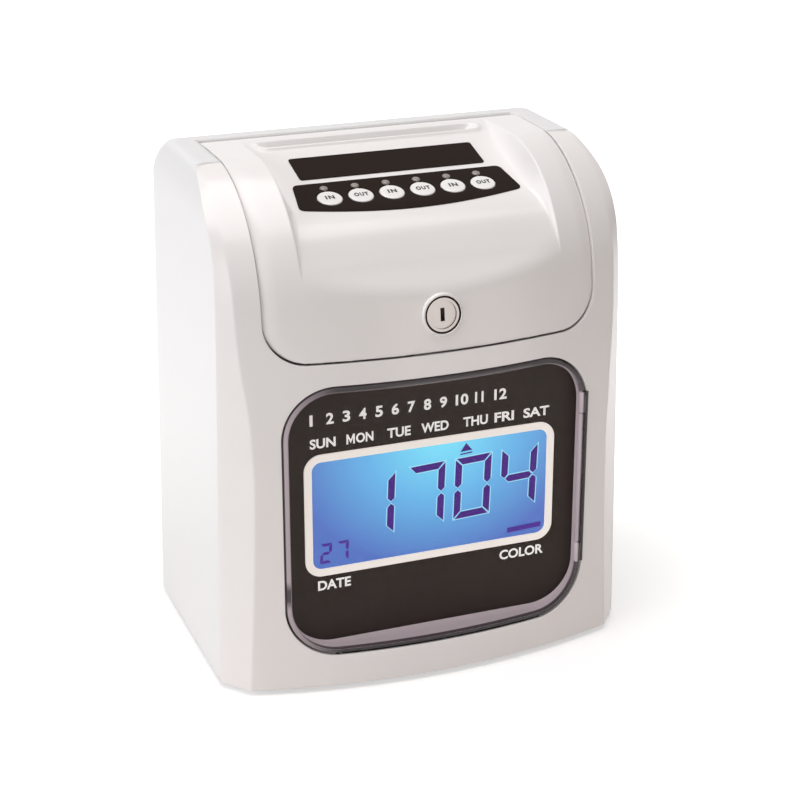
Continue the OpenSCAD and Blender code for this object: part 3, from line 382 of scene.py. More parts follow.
def moulding_marks():
    """A shader group for moulded plastic: faint clouds in its colour, fine grain, and an uneven gloss."""
    group = bpy.data.node_groups.new("moulding marks", "ShaderNodeTree")
    for way, names in (("INPUT", ("Colour", "Cloud", "Grain size", "Gloss", "Gloss spread")),
                       ("OUTPUT", ("Colour", "Roughness", "Height"))):
        for name in names:
            kind = "NodeSocketColor" if name == "Colour" else "NodeSocketFloat"
            group.interface.new_socket(name, in_out=way, socket_type=kind)
    given = group.nodes.new("NodeGroupInput").outputs
    place = add_node(group, "TexCoord", {}).outputs["Object"]
    cloud = add_node(group, "TexNoise", {"Vector": place, "Scale": 26.0, "Detail": 4.0})
    swing = add_node(group, "Math", {0: cloud.outputs["Fac"], 1: 0.5}, "SUBTRACT")
    depth = add_node(group, "Math", {0: swing, 1: given["Cloud"], 2: 1.0}, "MULTIPLY_ADD")
    tint = add_node(group, "VectorMath", {0: given["Colour"], "Scale": depth}, "SCALE")
    grain = add_node(group, "TexNoise", {"Vector": place, "Scale": given["Grain size"], "Detail": 2.0})
    smear = add_node(group, "TexNoise", {"Vector": place, "Scale": 60.0, "Detail": 6.0})
    centred = add_node(group, "Math", {0: smear.outputs["Fac"], 1: 0.5}, "SUBTRACT")
    gloss = add_node(group, "Math", {0: centred, 1: given["Gloss spread"], 2: given["Gloss"]}, "MULTIPLY_ADD")
    result = group.nodes.new("NodeGroupOutput")
    set_inputs(group, result, {"Colour": tint, "Roughness": gloss, "Height": grain.outputs["Fac"]})
    return group


marks = moulding_marks()


def plastic(name, colour, gloss, spread=0.06, cloud=0.04, grain=1400.0, bump=0.02, coat=0.0, extra=()):
    """A moulded plastic of one colour, with the moulding marks on it and extra inputs for its shader."""
    look = bpy.data.materials.new(name)
    look.use_nodes = True
    tree = look.node_tree
    pattern = tree.nodes.new("ShaderNodeGroup")
    pattern.node_tree = marks
    set_inputs(tree, pattern, {"Colour": (*colour, 1.0), "Cloud": cloud, "Grain size": grain, "Gloss": gloss,
                               "Gloss spread": spread})
    bumps = add_node(tree, "Bump", {
        "Strength": bump, "Distance": 0.0002, "Height": pattern.outputs["Height"]})
    set_inputs(tree, tree.nodes["Principled BSDF"], {
        "Base Color": pattern.outputs["Colour"], "Roughness": pattern.outputs["Roughness"], "Normal": bumps,
        "IOR": 1.49, "Coat Weight": coat, "Coat Roughness": 0.08, **dict(extra)})
    return look


bezel_look = plastic("white gloss", (0.875, 0.85, 0.84), 0.24, coat=0.1)
bezel.data.materials.append(bezel_look)

# Rear casing. The hood behind the bezel: two drafted sides, the back and the rear of the top in one white
# moulding, with two wall-screw holes and a hole for the power inlet in the back.
REAR_Y, REAR_R = 61.0, 4.5
BACK_R = 16.0
MOUTH_REAR, MOUTH_R = 40.0, 1.0
SCREW_X, SCREW_Z, INLET_X, INLET_Z = 50.0, 160.0, -58.0, 26.0
BACK_HOLES = ((SCREW_X, SCREW_Z, 2.6), (-SCREW_X, SCREW_Z, 2.6), (INLET_X, INLET_Z, 5.52))
SCREW_SPAN, INLET_SPAN = 82.9, 85.9
NO_HOLE = 9.0
wall_z = np.r_[0, 0.6, 1.6, 4, 8, 12, 15.5, np.linspace(17.5, 34.5, 27), np.arange(38, 150, 6.0),
               np.linspace(155.5, 164.5, 19), np.arange(168, 189, 4.0), SHOULDER_Z]
over = np.linspace(0, 1, 25)[1:]
back_turn = np.linspace(0, pi / 2, 40)
back_arc = np.stack([BACK_R - BACK_R * np.cos(back_turn),
                     TOP_Z - BACK_R + BACK_R * np.sin(back_turn)], axis=1)


def even_steps(line):
    """Points spaced evenly along a line, without its first."""
    length = lengths(line)
    return [np.interp(over * length[-1], length, line[:, k]) for k in (0, 1)]


side_in, side_up = even_steps(SHOULDER)
back_in, back_up = even_steps(np.concatenate([[(0.0, SHOULDER_Z)], back_arc]))
side_t = np.r_[0, 0.004, 0.012, np.linspace(0.03, 1, 24)]
corner_a = np.linspace(0, pi / 2, 12)[1:-1]
near_screw = np.linspace(-4.5, 4.5, 19)
near_inlet = np.linspace(-8.5, 8.5, 27)
back_x = np.r_[
    np.linspace(-1, 1, 31), (SCREW_X + near_screw) / SCREW_SPAN, (-SCREW_X + near_screw) / SCREW_SPAN,
    (INLET_X + near_inlet) / INLET_SPAN]
back_x = np.unique(np.round(back_x, 4))[::-1]
on_side = np.r_[np.zeros(len(side_t)), np.sin(corner_a) ** 2]
on_back = np.r_[on_side, np.ones(len(back_x)), on_side[::-1]]


def around_back(half, rear, radius, first_y):
    """One row as x and y: the right side from front to back, a corner, the back, a corner, the left side."""
    side = np.stack([np.full(len(side_t), half), first_y + (rear - radius - first_y) * side_t], axis=1)
    corner = np.stack([half - radius * (1 - np.cos(corner_a)),
                       rear - radius * (1 - np.sin(corner_a))], axis=1)
    back = np.stack([back_x * (half - radius), np.full(len(back_x), rear)], axis=1)
    return np.concatenate([side, corner, back, corner[::-1] * (-1, 1), side[::-1] * (-1, 1)])


def hood_row(z_side, z_back, inset_side, inset_back):
    """One row around the hood from seam to seam, at one height on the sides and another on the back."""
    half = FOOT_HALF - DRAFT * z_side - inset_side
    line = around_back(half, REAR_Y - inset_back, REAR_R, seam_y(min(z_side, TOP_Z - 0.1)))
    return np.column_stack([line, z_side + (z_back - z_side) * on_back])


def round_holes(x, z, holes):
    """Signed distance to the nearest of some round holes, negative inside, and its outward way in x and z."""
    gap = np.full(x.shape, NO_HOLE)
    nx, nz = np.zeros(x.shape), np.zeros(x.shape)
    for hole_x, hole_z, radius in holes:
        dx, dz = x - hole_x, z - hole_z
        far = np.hypot(dx, dz)
        near = far - radius < gap
        gap = np.where(near, far - radius, gap)
        nx = np.where(near, dx / np.maximum(far, TINY), nx)
        nz = np.where(near, dz / np.maximum(far, TINY), nz)
    return gap, nx, nz


walls = np.stack([hood_row(z, z, 0.0, 0.0) for z in wall_z])
bends = np.stack([hood_row(*row) for row in zip(side_up, back_up, side_in, back_in)])
mouth = np.column_stack([around_back(HATCH["half_x"], MOUTH_REAR, MOUTH_R, BEZEL_END),
                         np.full(len(on_back), TOP_Z)])
fill = np.linspace(0, 1, 7)[1:, None, None]
roof = bends[-1] + (mouth - bends[-1]) * fill
hood = np.concatenate([walls, bends, roof])
back_cells = slice(len(wall_z)), slice(len(on_side), len(on_side) + len(back_x))
gap = np.full(hood.shape[:2], NO_HOLE)
gap_x, gap_z = np.zeros(gap.shape), np.zeros(gap.shape)
gap[back_cells], gap_x[back_cells], gap_z[back_cells] = round_holes(
    hood[back_cells][..., 0], hood[back_cells][..., 2], BACK_HOLES)
hood[..., 0], hood[..., 2], keep_hood = snap(hood[..., 0], hood[..., 2], gap, gap_x, gap_z)
casing = put_mesh("rear_casing_skin", hood, grid_quads(keep_hood))
moulded_wall(casing, WALL)
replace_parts(casing, "rear_casing")
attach(casing, "case")
casing_look = plastic("white casing", (0.76, 0.757, 0.76), 0.3, spread=0.04, cloud=0.015, coat=0.1)
casing.data.materials.append(casing_look)

# Lid. The swing-up cover over the printer, in the bezel's plastic. It continues the bowed front and the top.
# Its middle is sunk into a sloping deck with the card slot, a strip for a notice, the buttons and the lock.
DECK_Y, DECK_Z, DECK_R, SLOPE = -11.6, 153.4757, 44.0, radians(16)
DECK_HALF = 55.0
DECK_BEND, FRONT_END = radians(106), radians(199)
LID = dict(half_x=71.2, low=141.8, high=900.0, radius=16.0)
REAR_EDGE_Y, REAR_EDGE_R = 34.5, 5.0
EDGE_R = 0.5
FRONT_PART_Y = -30.0
LID_WALL = 2.2
SLOT_Y, SLOT_HALF, SLOT_DEPTH = 25.5, 44.0, 2.3
SLOT_END_X, SLOT_END_R = 45.6, 3.25
LIP_RISE, LIP_OUT, LIP_WIDTH = 1.35, 1.05, 0.85
BUTTON_Y, BUTTON_Z = -17.8, 197.5
BUTTON_X = (np.arange(6) - 2.5) * 13.3
BUTTON_HOLE_R = 6.3
LAMP_HOLE_UP, LAMP_HOLE_R = 8.6, 2.0
LOCK_Z, LOCK_HOLE_R = 157.0, 7.1
lid_x = both_sides(np.r_[
    np.arange(0, 43.9, 0.95),
    44.0, 44.15, 44.6, 45.4, 46.4, 47.4, 48.2, 48.85, 49.4, 50.0, 50.6, 51.4, 52.4, 53.2, 53.8, 54.2, 54.5,
    54.75, 55.0, 55.25, 55.5, 55.9, 56.5, 57.5,
    np.arange(59, 69.5, 0.7), 69.8, 70.1, 70.4, 70.65, 70.85, 71.02, 71.13, 71.2])
slot_rows = SLOT_Y + np.array([
    8.0, 7.2, 6.4, 5.8, 5.3, 4.9, 4.6, 4.35, 4.25, 4.1, 3.8, 3.4, 3.0, 2.6, 2.4, 0.0, -2.2, -2.3, -2.5,
    -2.8, -3.1, -3.4, -3.7, -4.0, -4.3, -4.6, -4.9, -5.2, -5.6, -6.2, -7.0])
slot_angle = np.arctan2(BUTTON_Z + (slot_rows - BUTTON_Y) * tan(SLOPE) - DECK_Z, slot_rows - DECK_Y)
rear_angle = np.arctan2(TOP_Z - DECK_Z, REAR_EDGE_Y - DECK_Y)
row_angle = np.r_[
    rear_angle, slot_angle[slot_angle > rear_angle + 0.002],
    np.arange(slot_angle[-1] + 0.014, DECK_BEND, 0.0125), np.linspace(DECK_BEND, FRONT_END, 150)]
side_line = np.linspace(100.0, 300.0, 1600)


def front_reach(x):
    """Distance of the bowed front and top from the deck's axis at the angles of the rows, for one x."""
    away = case_front(np.full(len(side_line), x), side_line)[::-1, 1:] - (DECK_Y, DECK_Z)
    angle = np.mod(np.arctan2(away[:, 1], away[:, 0]), 2 * pi)
    return np.interp(row_angle, angle, np.hypot(away[:, 1], away[:, 0]))


def ease(value, start, reach):
    """A share from 0 at the start to 1 at the end of a reach, level at both."""
    share = np.clip((value - start) / reach, 0, 1)
    return share ** 2 * (3 - 2 * share)


def softer_of(a, b, blend):
    """The smaller of two values, with a rounded change from one to the other."""
    h = np.clip(0.5 + 0.5 * (b - a) / blend, 0, 1)
    return b + (a - b) * h - blend * h * (1 - h)


outer = np.stack([front_reach(x) for x in lid_x], axis=1)
row_angle = row_angle[:, None]
deck_reach = np.where(row_angle > DECK_BEND, DECK_R, DECK_R / np.cos(DECK_BEND - row_angle))
deck_reach = deck_reach - 1.8 * ease(row_angle, radians(118), radians(24))
deck_reach = deck_reach + 7.0 * ease(row_angle, radians(146), radians(40))
sunk = softer_of(outer, np.broadcast_to(deck_reach, outer.shape), 1.6)
lip_depth = (outer - sunk)[:, np.abs(lid_x - DECK_HALF).argmin()][:, None]
wall_width = np.clip(0.5 + 0.75 * lip_depth, 0.6, 5.2)
step = 1 - (1 - np.clip((DECK_HALF + 0.35 - np.abs(lid_x)) / wall_width, 0, 1)) ** 2
reach = outer + (np.minimum(sunk, outer) - outer) * step
lid_grid = points_of(lid_x, DECK_Y + reach * np.cos(row_angle), DECK_Z + reach * np.sin(row_angle))


def slot_shape(x, y):
    """Rise of the lid at the card slot: a raised lip along its front and ends, and walls to the throat."""
    off = np.hypot(np.maximum(np.abs(x) - SLOT_END_X, 0), y - SLOT_Y - 1.0) - SLOT_END_R
    lip = LIP_RISE * np.exp(-((off - LIP_OUT) / LIP_WIDTH) ** 2) * np.clip((SLOT_Y + 4.0 - y) / 4.0, 0, 1)
    past_end = np.clip((np.abs(x) - SLOT_HALF) / 4.85, 0, 1)
    past_rear = np.clip((y - SLOT_Y - 2.4) / 1.85, 0, 1)
    share = np.hypot(past_end, past_rear)
    return lip - np.where(off < 0, SLOT_DEPTH * np.clip(1 - share, 0, 1), 0)


near_slot = (lid_grid[..., 1] > 14) & (np.abs(lid_grid[..., 0]) < 54)
lid_grid[..., 2] += np.where(near_slot, slot_shape(lid_grid[..., 0], lid_grid[..., 1]), 0)
roll = np.linspace(pi / 2, -0.9, 16)[1:, None]
rolled = points_of(lid_x, REAR_EDGE_Y + REAR_EDGE_R * np.cos(roll),
                   TOP_Z - REAR_EDGE_R + REAR_EDGE_R * np.sin(roll))
lid_grid = np.concatenate([rolled[::-1], lid_grid])
LX, LY, LZ = np.moveaxis(lid_grid, -1, 0)
low_gap, low_nx, low_nz = rounded_gap(LX, LZ, **LID)
pillow = np.clip(1 + low_gap / 6.5, 0, 1) ** 2 * np.abs(low_nx) * np.clip((5 - LY) / 30, 0, 1)
short = np.clip(1 + low_gap / EDGE_R, 0, 1)
drop = EDGE_R * (1 - np.sqrt(1 - short ** 2)) * np.clip((30 - LY) / 6, 0, 1)
inward = np.array([DECK_Y, DECK_Z]) - lid_grid[..., 1:]
inward /= np.linalg.norm(inward, axis=-1, keepdims=True)
front_half = LY < FRONT_PART_Y
rim_x, rim_z, keep_lid = snap(LX, LZ, np.where(front_half, -low_gap, NO_HOLE), -low_nx, -low_nz)
moved = (rim_x != LX) | (rim_z != LZ)
lid_grid = np.where(moved[..., None], case_front(rim_x, along_at(rim_z)), lid_grid)
low_edge = np.clip(1 + low_gap / 2.2, 0, 1) ** 2 * np.abs(low_nz) * front_half
drop = np.where(moved, EDGE_R, drop) + 1.5 * pillow + 0.25 * low_edge
lid_grid[..., 1:] += inward * drop[..., None]
mid_x, mid_y, mid_z = np.moveaxis((lid_grid[:-1, :-1] + lid_grid[1:, 1:]) / 2, -1, 0)
up_deck = (mid_y - BUTTON_Y) / cos(SLOPE)
for button_x in BUTTON_X:
    keep_lid &= np.hypot(mid_x - button_x, up_deck) > BUTTON_HOLE_R
    keep_lid &= np.hypot(mid_x - button_x, up_deck - LAMP_HOLE_UP) > LAMP_HOLE_R
keep_lid &= ~((np.abs(mid_x) < SLOT_HALF) & (np.abs(mid_y - SLOT_Y - 0.05) < 2.34))
keep_lid &= ~((np.hypot(mid_x, (mid_z - LOCK_Z) / cos(LEAN)) < LOCK_HOLE_R) & (mid_y < FRONT_PART_Y))
lid = put_mesh("top_lid_skin", lid_grid, grid_quads(keep_lid)[:, ::-1])
moulded_wall(lid, LID_WALL)
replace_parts(lid, "top_lid")
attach(lid, "lid")
lid.data.materials.append(bezel_look)

# Window sleeve. The short plastic wall around the display window, from just behind the bowed front back to
# the fascia. It belongs to the bezel's white moulding, and is a piece of its own here so that it can be
# black: painted shade for the dark wall inside the window.
FASCIA_Y = -47.5
SLEEVE_ROWS, SLEEVE_IN, SLEEVE_WALL = 5, 0.9, 1.4


def rounded_ring(half_x, low, high, radius, inset=0.0):
    """Points around a rectangle with round corners, less an inset, as x and z, from the right side upward."""
    radius = max(radius - inset, 0.4)
    half_x = half_x - inset
    half_z = (high - low) / 2 - inset
    flat_x = max(half_x - radius, 0)
    flat_z = max(half_z - radius, 0)
    arc = radius * np.exp(1j * np.linspace(0, pi / 2, 15))
    up = np.linspace(-1, 1, 18)[1:-1]
    across = np.linspace(1, -1, 38)[1:-1]
    line = np.concatenate([
        half_x + 1j * flat_z * up, flat_x + 1j * flat_z + arc,
        flat_x * across + 1j * half_z, -flat_x + 1j * flat_z + 1j * arc,
        -half_x - 1j * flat_z * up, -flat_x - 1j * flat_z - arc,
        -flat_x * across - 1j * half_z, flat_x - 1j * flat_z - 1j * arc])
    return line.real, line.imag + (low + high) / 2


def front_y(x, z):
    """Depth of the bowed front at a place on it."""
    return case_front(x, along_at(z))[..., 1]


def ring_quads(rings, around):
    """Quads between closed rings of points."""
    n = np.arange(rings * around).reshape(rings, around)
    far = np.roll(n, -1, axis=1)
    return np.stack([n[:-1], far[:-1], far[1:], n[1:]], axis=-1).reshape(-1, 4)


ring_x, ring_z = rounded_ring(**WINDOW)
ring_front = front_y(ring_x, ring_z) + SLEEVE_IN
ring_y = ring_front + (FASCIA_Y - ring_front) * np.linspace(0, 1, SLEEVE_ROWS)[:, None]
sleeve = put_mesh("window_sleeve", points_of(ring_x, ring_y, ring_z), ring_quads(SLEEVE_ROWS, len(ring_x)))
moulded_wall(sleeve, SLEEVE_WALL)
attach(sleeve, "case")
sleeve.data.materials.append(plastic("sleeve painted shade", (0.02, 0.016, 0.014), 0.55, cloud=0.3))


# Display fascia. The flat dark plastic panel behind the door, with white printed marks for the days, the
# date and the ribbon's colour, and a row of plain numbers for the months.
def dress(look, *nodes):
    """Gives nodes of the CAD model a material."""
    for node in nodes:
        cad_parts[node].data.materials.clear()
        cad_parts[node].data.materials.append(look)


fascia_look = plastic("fascia black", (0.02, 0.0125, 0.008), 0.5, spread=0.12, cloud=0.3, grain=2600.0,
                      bump=0.04, extra={"Specular IOR Level": 0.15})
dress(fascia_look, "display_fascia")
# The white print has a faint painted glow, though it is ink and no lamp.
ink_look = plastic("white print", (0.95, 0.94, 0.92), 0.5, cloud=0.06,
                   extra={"Emission Color": (1.0, 0.98, 0.95, 1.0), "Emission Strength": 0.22})


def lettering(name, words, place, look, body, bold=0.03, space=1.0):
    """Words in the built-in font as a flat mesh, set by place from shares of their width and height."""
    curve = bpy.data.curves.new(name, "FONT")
    curve.body = words
    curve.offset = bold
    curve.space_character = space
    curve.resolution_u = 4
    text = add_object(name + "_text", curve)
    flat = bpy.data.meshes.new_from_object(text.evaluated_get(bpy.context.evaluated_depsgraph_get()))
    bpy.data.objects.remove(text)
    flat.name = name
    co = np.empty(len(flat.vertices) * 3)
    flat.vertices.foreach_get("co", co)
    co = co.reshape(-1, 3)[:, :2]
    low, high = co.min(0), co.max(0)
    share = (co - low) / (high - low)
    points = (place(share[:, 0], share[:, 1]) + (0, 0, LIFT)) * MM
    flat.vertices.foreach_set("co", points.ravel())
    flat.update()
    made = add_object(name, flat)
    made.data.materials.clear()
    made.data.materials.append(look)
    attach(made, body)


PRINT_Y = FASCIA_Y - 0.06


def on_panel(left, right, base, height):
    """Places words upright on the fascia, between left and right, from a base line up."""
    return lambda across, up: points_of(left + (right - left) * across, PRINT_Y, base + height * up)


DAY_BASE, DAY_HEIGHT = 103.6, 4.3
DAYS = (("sun", "SUN", -53.4, -42.4), ("mon", "ON", -33.7, -26.2), ("tue", "TUE", -20.2, -10.0),
        ("wed", "WED", -5.4, 6.7), ("thu", "THU", 13.2, 24.2), ("fri", "FRI", 27.2, 36.0),
        ("sat", "SAT", 40.3, 52.1))
for day, word, left, right in DAYS:
    lettering("day_" + day, word, on_panel(left, right, DAY_BASE, DAY_HEIGHT), ink_look, "case")
# The built-in font fills in its M when it is made bolder, so that letter is drawn from four bars.
m_across = np.array([0, 0.21, 0.21, 0.21, 0, 0.5, 0.5, 0.79, 1, 1, 0.79, 0.79])
m_up = np.array([0, 0, 0.62, 1, 1, 0.06, 0.44, 0, 0, 1, 1, 0.62])
m_bars = [(0, 1, 3, 4), (2, 5, 6, 3), (5, 11, 10, 6), (7, 8, 9, 10)]
letter_m = put_mesh("day_mon_m", on_panel(-37.8, -34.2, DAY_BASE, DAY_HEIGHT)(m_across, m_up), m_bars)
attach(letter_m, "case")
letter_m.data.materials.append(ink_look)
lettering("mark_date", "DATE", on_panel(-50.9, -36.5, 40.0, 4.4), ink_look, "case")
lettering("mark_color", "COLOR", on_panel(30.7, 51.1, 39.7, 4.5), ink_look, "case")
MONTH_LEFT, MONTH_PITCH, WIDE_MORE = -53.3, 7.0, 1.6
MONTH_BASE, MONTH_HEIGHT = 113.6, 4.8
MONTH_WIDTHS = [1.3] + [3.2] * 8 + [5.6, 3.8, 5.6]
for month, width in enumerate(MONTH_WIDTHS, 1):
    left = MONTH_LEFT + (month - 1) * MONTH_PITCH + max(month - 10, 0) * WIDE_MORE
    place = on_panel(left, left + width, MONTH_BASE, MONTH_HEIGHT)
    lettering("month_%d" % month, str(month), place, ink_look, "case")

# Display. The liquid crystal panel in a flat white plastic frame, lit from behind in blue. Its digits are
# slanted seven-segment figures in dark violet: the time and the day of the month, with a pointer to the
# weekday and a bar for the ribbon's colour.
# This material glows faintly. On the white plastic frame that glow is painted light; the backlight wears it
# too.
frame_look = plastic("warm white frame", (0.93, 0.89, 0.84), 0.4,
                     extra={"Emission Color": (1.0, 0.95, 0.88, 1.0), "Emission Strength": 0.25})
dress(frame_look, "lcd_backlight")
SURROUND = dict(half_x=55.4, low=46.6, high=100.9, radius=7.3)
SURROUND_X = -0.8
surround = []
for inset, height in [(0.0, 0.0), (0.0, 0.42), (3.3, 0.42), (3.3, 0.0)]:
    surround_x, surround_z = rounded_ring(**SURROUND, inset=inset)
    surround.append(points_of(surround_x + SURROUND_X, FASCIA_Y - height, surround_z))
around = len(surround_x)
surround_quads = ring_quads(len(surround) + 1, around) % (len(surround) * around)
lcd_surround = put_mesh("lcd_surround", np.array(surround), surround_quads)
lcd_surround.data.shade_flat()
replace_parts(lcd_surround, "lcd_frame")
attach(lcd_surround, "case")
lcd_surround.data.materials.append(frame_look)
GLASS_Y = -47.6
lcd_look = bpy.data.materials.new("lit display")
lcd_look.use_nodes = True
lcd_tree = lcd_look.node_tree
lcd_place = add_node(lcd_tree, "TexCoord", {}).outputs["Object"]
lcd_shift = add_node(lcd_tree, "VectorMath", {0: lcd_place, 1: (0.004, -0.0455, 0.1045)}, "SUBTRACT")
lcd_scale = add_node(lcd_tree, "VectorMath", {0: lcd_shift, 1: (15.5, 0.0, 17.5)}, "MULTIPLY")
lcd_reach = add_node(lcd_tree, "VectorMath", {0: lcd_scale}, "LENGTH").outputs["Value"]
lcd_tint = colour_ramp(lcd_tree, lcd_reach, (0.0, (0.16, 0.73, 0.9)), (0.5, (0.085, 0.4, 0.73)),
                       (1.0, (0.042, 0.12, 0.46)))
set_inputs(lcd_tree, lcd_tree.nodes["Principled BSDF"], {
    "Base Color": (0.02, 0.03, 0.06, 1.0), "Roughness": 0.25, "Emission Color": lcd_tint,
    "Emission Strength": 1.0})
dress(lcd_look, "lcd_glass")


def lit_print(name, colour, glow):
    """A printed colour that the lamp behind the display shines through."""
    return plastic(name, colour, 0.4, extra={
        "Specular IOR Level": 0.1, "Emission Color": (*glow, 1.0), "Emission Strength": 1.0})


segment_look = lit_print("violet segments", (0.02, 0.006, 0.05), (0.05, 0.014, 0.17))
small_look = lit_print("pale violet segments", (0.03, 0.012, 0.08), (0.052, 0.022, 0.23))
halo_look = lit_print("pale halo", (0.05, 0.08, 0.1), (0.32, 0.68, 0.86))
SEGMENTS = {"0": "abcdef", "1": "bc", "2": "abged", "4": "fgbc", "7": "abc"}
DIGIT_LEAN, DIGIT_CLIMB = 0.035, 0.045


def seven_segments(digit, left, base, width, height, bar, gap):
    """Outlines of the lit bars of one digit: mitred bars along a figure of eight, slanted to the right."""
    w, h, m, b, k, g = width, height, height / 2, bar, bar / 2, gap
    mitre, tip = bar + gap * 0.4, bar / 2 + gap * 0.6
    shapes = {
        "a": [(g, h), (w - g, h), (w - mitre, h - b), (mitre, h - b)],
        "d": [(mitre, b), (w - mitre, b), (w - g, 0), (g, 0)],
        "f": [(0, h - g), (b, h - b - g), (b, m + k + g), (k, m + g), (0, m + tip)],
        "e": [(0, g), (0, m - tip), (k, m - g), (b, m - k - g), (b, b + g)],
        "b": [(w, h - g), (w, m + tip), (w - k, m + g), (w - b, m + k + g), (w - b, h - b - g)],
        "c": [(w, g), (w - b, b + g), (w - b, m - k - g), (w - k, m - g), (w, m - tip)],
        "g": [(k + g, m), (b + g, m + k), (w - b - g, m + k), (w - k - g, m), (w - b - g, m - k),
              (b + g, m - k)]}
    return [[(left + x + DIGIT_LEAN * z, base + z + DIGIT_CLIMB * x) for x, z in shapes[name]]
            for name in SEGMENTS[digit]]


def flat_shapes(name, outlines, panel, look):
    """A piece of flat outlines on an upright panel."""
    sizes = [len(outline) for outline in outlines]
    starts = np.cumsum([0] + sizes)
    corners = np.array([corner for outline in outlines for corner in outline])
    points = points_of(corners[:, 0], panel, corners[:, 1] + LIFT) * MM
    mesh = bpy.data.meshes.new(name)
    mesh.from_pydata(points.tolist(), [], [list(range(a, a + n)) for a, n in zip(starts, sizes)])
    normals = np.empty(len(mesh.polygons) * 3)
    mesh.polygons.foreach_get("normal", normals)
    if normals[1] > 0:
        mesh.flip_normals()
    mesh.materials.append(look)
    made = add_object(name, mesh)
    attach(made, "case")


sheet_x, sheet_z = rounded_ring(53.6, 49.0, 98.6, 4.4)
flat_shapes("display_sheet", [list(zip(sheet_x, sheet_z))], GLASS_Y, lcd_look)
HALO_Y, INK_Y = GLASS_Y - 0.05, GLASS_Y - 0.1
HALO = 0.45
TIME_WIDTH, TIME_HEIGHT, TIME_BAR = 16.2, 27.4, 3.0
time_bars, halo_bars = [], []
for digit, left, base in (("1", -33.9, 60.5), ("7", -11.7, 61.7), ("0", 9.1, 62.4), ("4", 30.1, 63.5)):
    time_bars += seven_segments(digit, left, base, TIME_WIDTH, TIME_HEIGHT, TIME_BAR, 0.5)
    halo_bars += seven_segments(digit, left - HALO, base - HALO, TIME_WIDTH + 2 * HALO,
                                TIME_HEIGHT + 2 * HALO, TIME_BAR + 2 * HALO, 0.1)
flat_shapes("digit_halo", halo_bars, HALO_Y, halo_look)
flat_shapes("time_digits", time_bars, INK_Y, segment_look)
pointer = [[(12.0, 92.7), (17.4, 93.0), (14.6, 96.4)],
           [(12.0, 91.3), (17.4, 91.7), (17.4, 92.3), (12.0, 91.9)]]
flat_shapes("weekday_pointer", pointer, INK_Y, segment_look)
day_bars = []
for digit, left, base in (("2", -49.9, 52.0), ("7", -42.6, 52.1)):
    day_bars += seven_segments(digit, left, base, 5.1, 9.0, 1.3, 0.2)
flat_shapes("date_digits", day_bars, INK_Y, small_look)
ribbon_bar = [(34.0, 52.0), (49.6, 52.7), (49.6, 55.0), (34.0, 54.4)]
flat_shapes("ribbon_mark", [ribbon_bar], INK_Y, small_look)

# Clear door. A thin pane of clear plastic, bowed like the front, with a rim around it that reaches back and
# looks smoky for its thickness. A barrel down its right edge turns on a blackened pin between two lugs.
# Its rim and barrel carry painted shade on the sides that face away from the lamps at the left, and the door
# has a faint painted glow.
DOOR = dict(half_x=66.5, low=14.5, high=132.0, radius=22.0)
HINGE_X, HINGE_Y = 64.8, -52.9
BARREL_Z, LUGS_Z = 45.5, (36.0, 105.0)
HINGE_STEPS = 24
RIM_BACK = -48.5
PANE = 1.6
PANE_INSETS = (4.0, 8.0, 16.0, 28.0, 40.0, 52.0, 57.5)
rim_rings = [(2.4, None), (0.8, None), (0.3, 1.2), (0.35, 0.6), (0.6, 0.2), (1.0, 0.05)]
pane_rings = [(inset, 0.0) for inset in (1.9, 2.3, *PANE_INSETS)]
back_rings = [(inset, PANE) for inset in (*PANE_INSETS[::-1], 2.9)] + [(2.4, 2.0), (2.4, None)]


def ring_cap(first, around, middle):
    """Quads that close a ring of an even number of points with one point in its middle."""
    n = first + np.arange(around)
    return np.stack([np.full(around // 2, middle), n[0::2], n[1::2], np.roll(n, -2)[0::2]], axis=-1)


def turned(profile, around, steps):
    """Points and quads of a closed lathe shape: the profile's radius and height, turned about an axis."""
    angle = np.linspace(0, 2 * pi, steps, endpoint=False)
    profile = np.asarray(profile, float)
    radius, height = profile[:, 0, None], profile[:, 1, None]
    grid = points_of(radius * np.cos(angle), radius * np.sin(angle), height)
    ends = np.array([[0, 0, profile[0, 1]], [0, 0, profile[-1, 1]]])
    points = np.concatenate([grid.reshape(-1, 3), ends])
    rows = len(profile)
    quads = np.concatenate([ring_quads(rows, steps),
                            ring_cap(0, steps, rows * steps)[:, ::-1],
                            ring_cap((rows - 1) * steps, steps, rows * steps + 1)])
    origin, axis = np.asarray(around[0], float), np.asarray(around[1], float)
    axis = axis / np.linalg.norm(axis)
    side = np.array([1.0, 0, 0])
    return origin + points @ np.stack([side, np.cross(axis, side), axis]), quads


def joined(*shapes):
    """One list of points and one of quads from several."""
    starts = np.cumsum([0] + [len(points) for points, _ in shapes])
    return (np.concatenate([points for points, _ in shapes]),
            np.concatenate([quads + start for (_, quads), start in zip(shapes, starts)]))


def hinge_piece(side, low):
    """A round piece about the hinge's axis, from a height up."""
    return turned(side, ((HINGE_X, HINGE_Y, low), (0, 0, 1)), HINGE_STEPS)


def door_ring(inset, depth):
    """One ring of the door: at a depth behind the bowed front, or at the rim's flat back if none is given."""
    x, z = rounded_ring(**DOOR, inset=inset)
    return points_of(x, RIM_BACK if depth is None else front_y(x, z) + depth, z)


def store_share(made, name, values):
    """Stores a share at each point of a piece, for its shader."""
    made.data.attributes.new(name, "FLOAT", "POINT").data.foreach_set("value", values)


def stored_share(tree, name):
    """The output of a shader node that reads a stored share."""
    node = add_node(tree, "Attribute", {})
    node.attribute_name = name
    return node.outputs["Fac"]


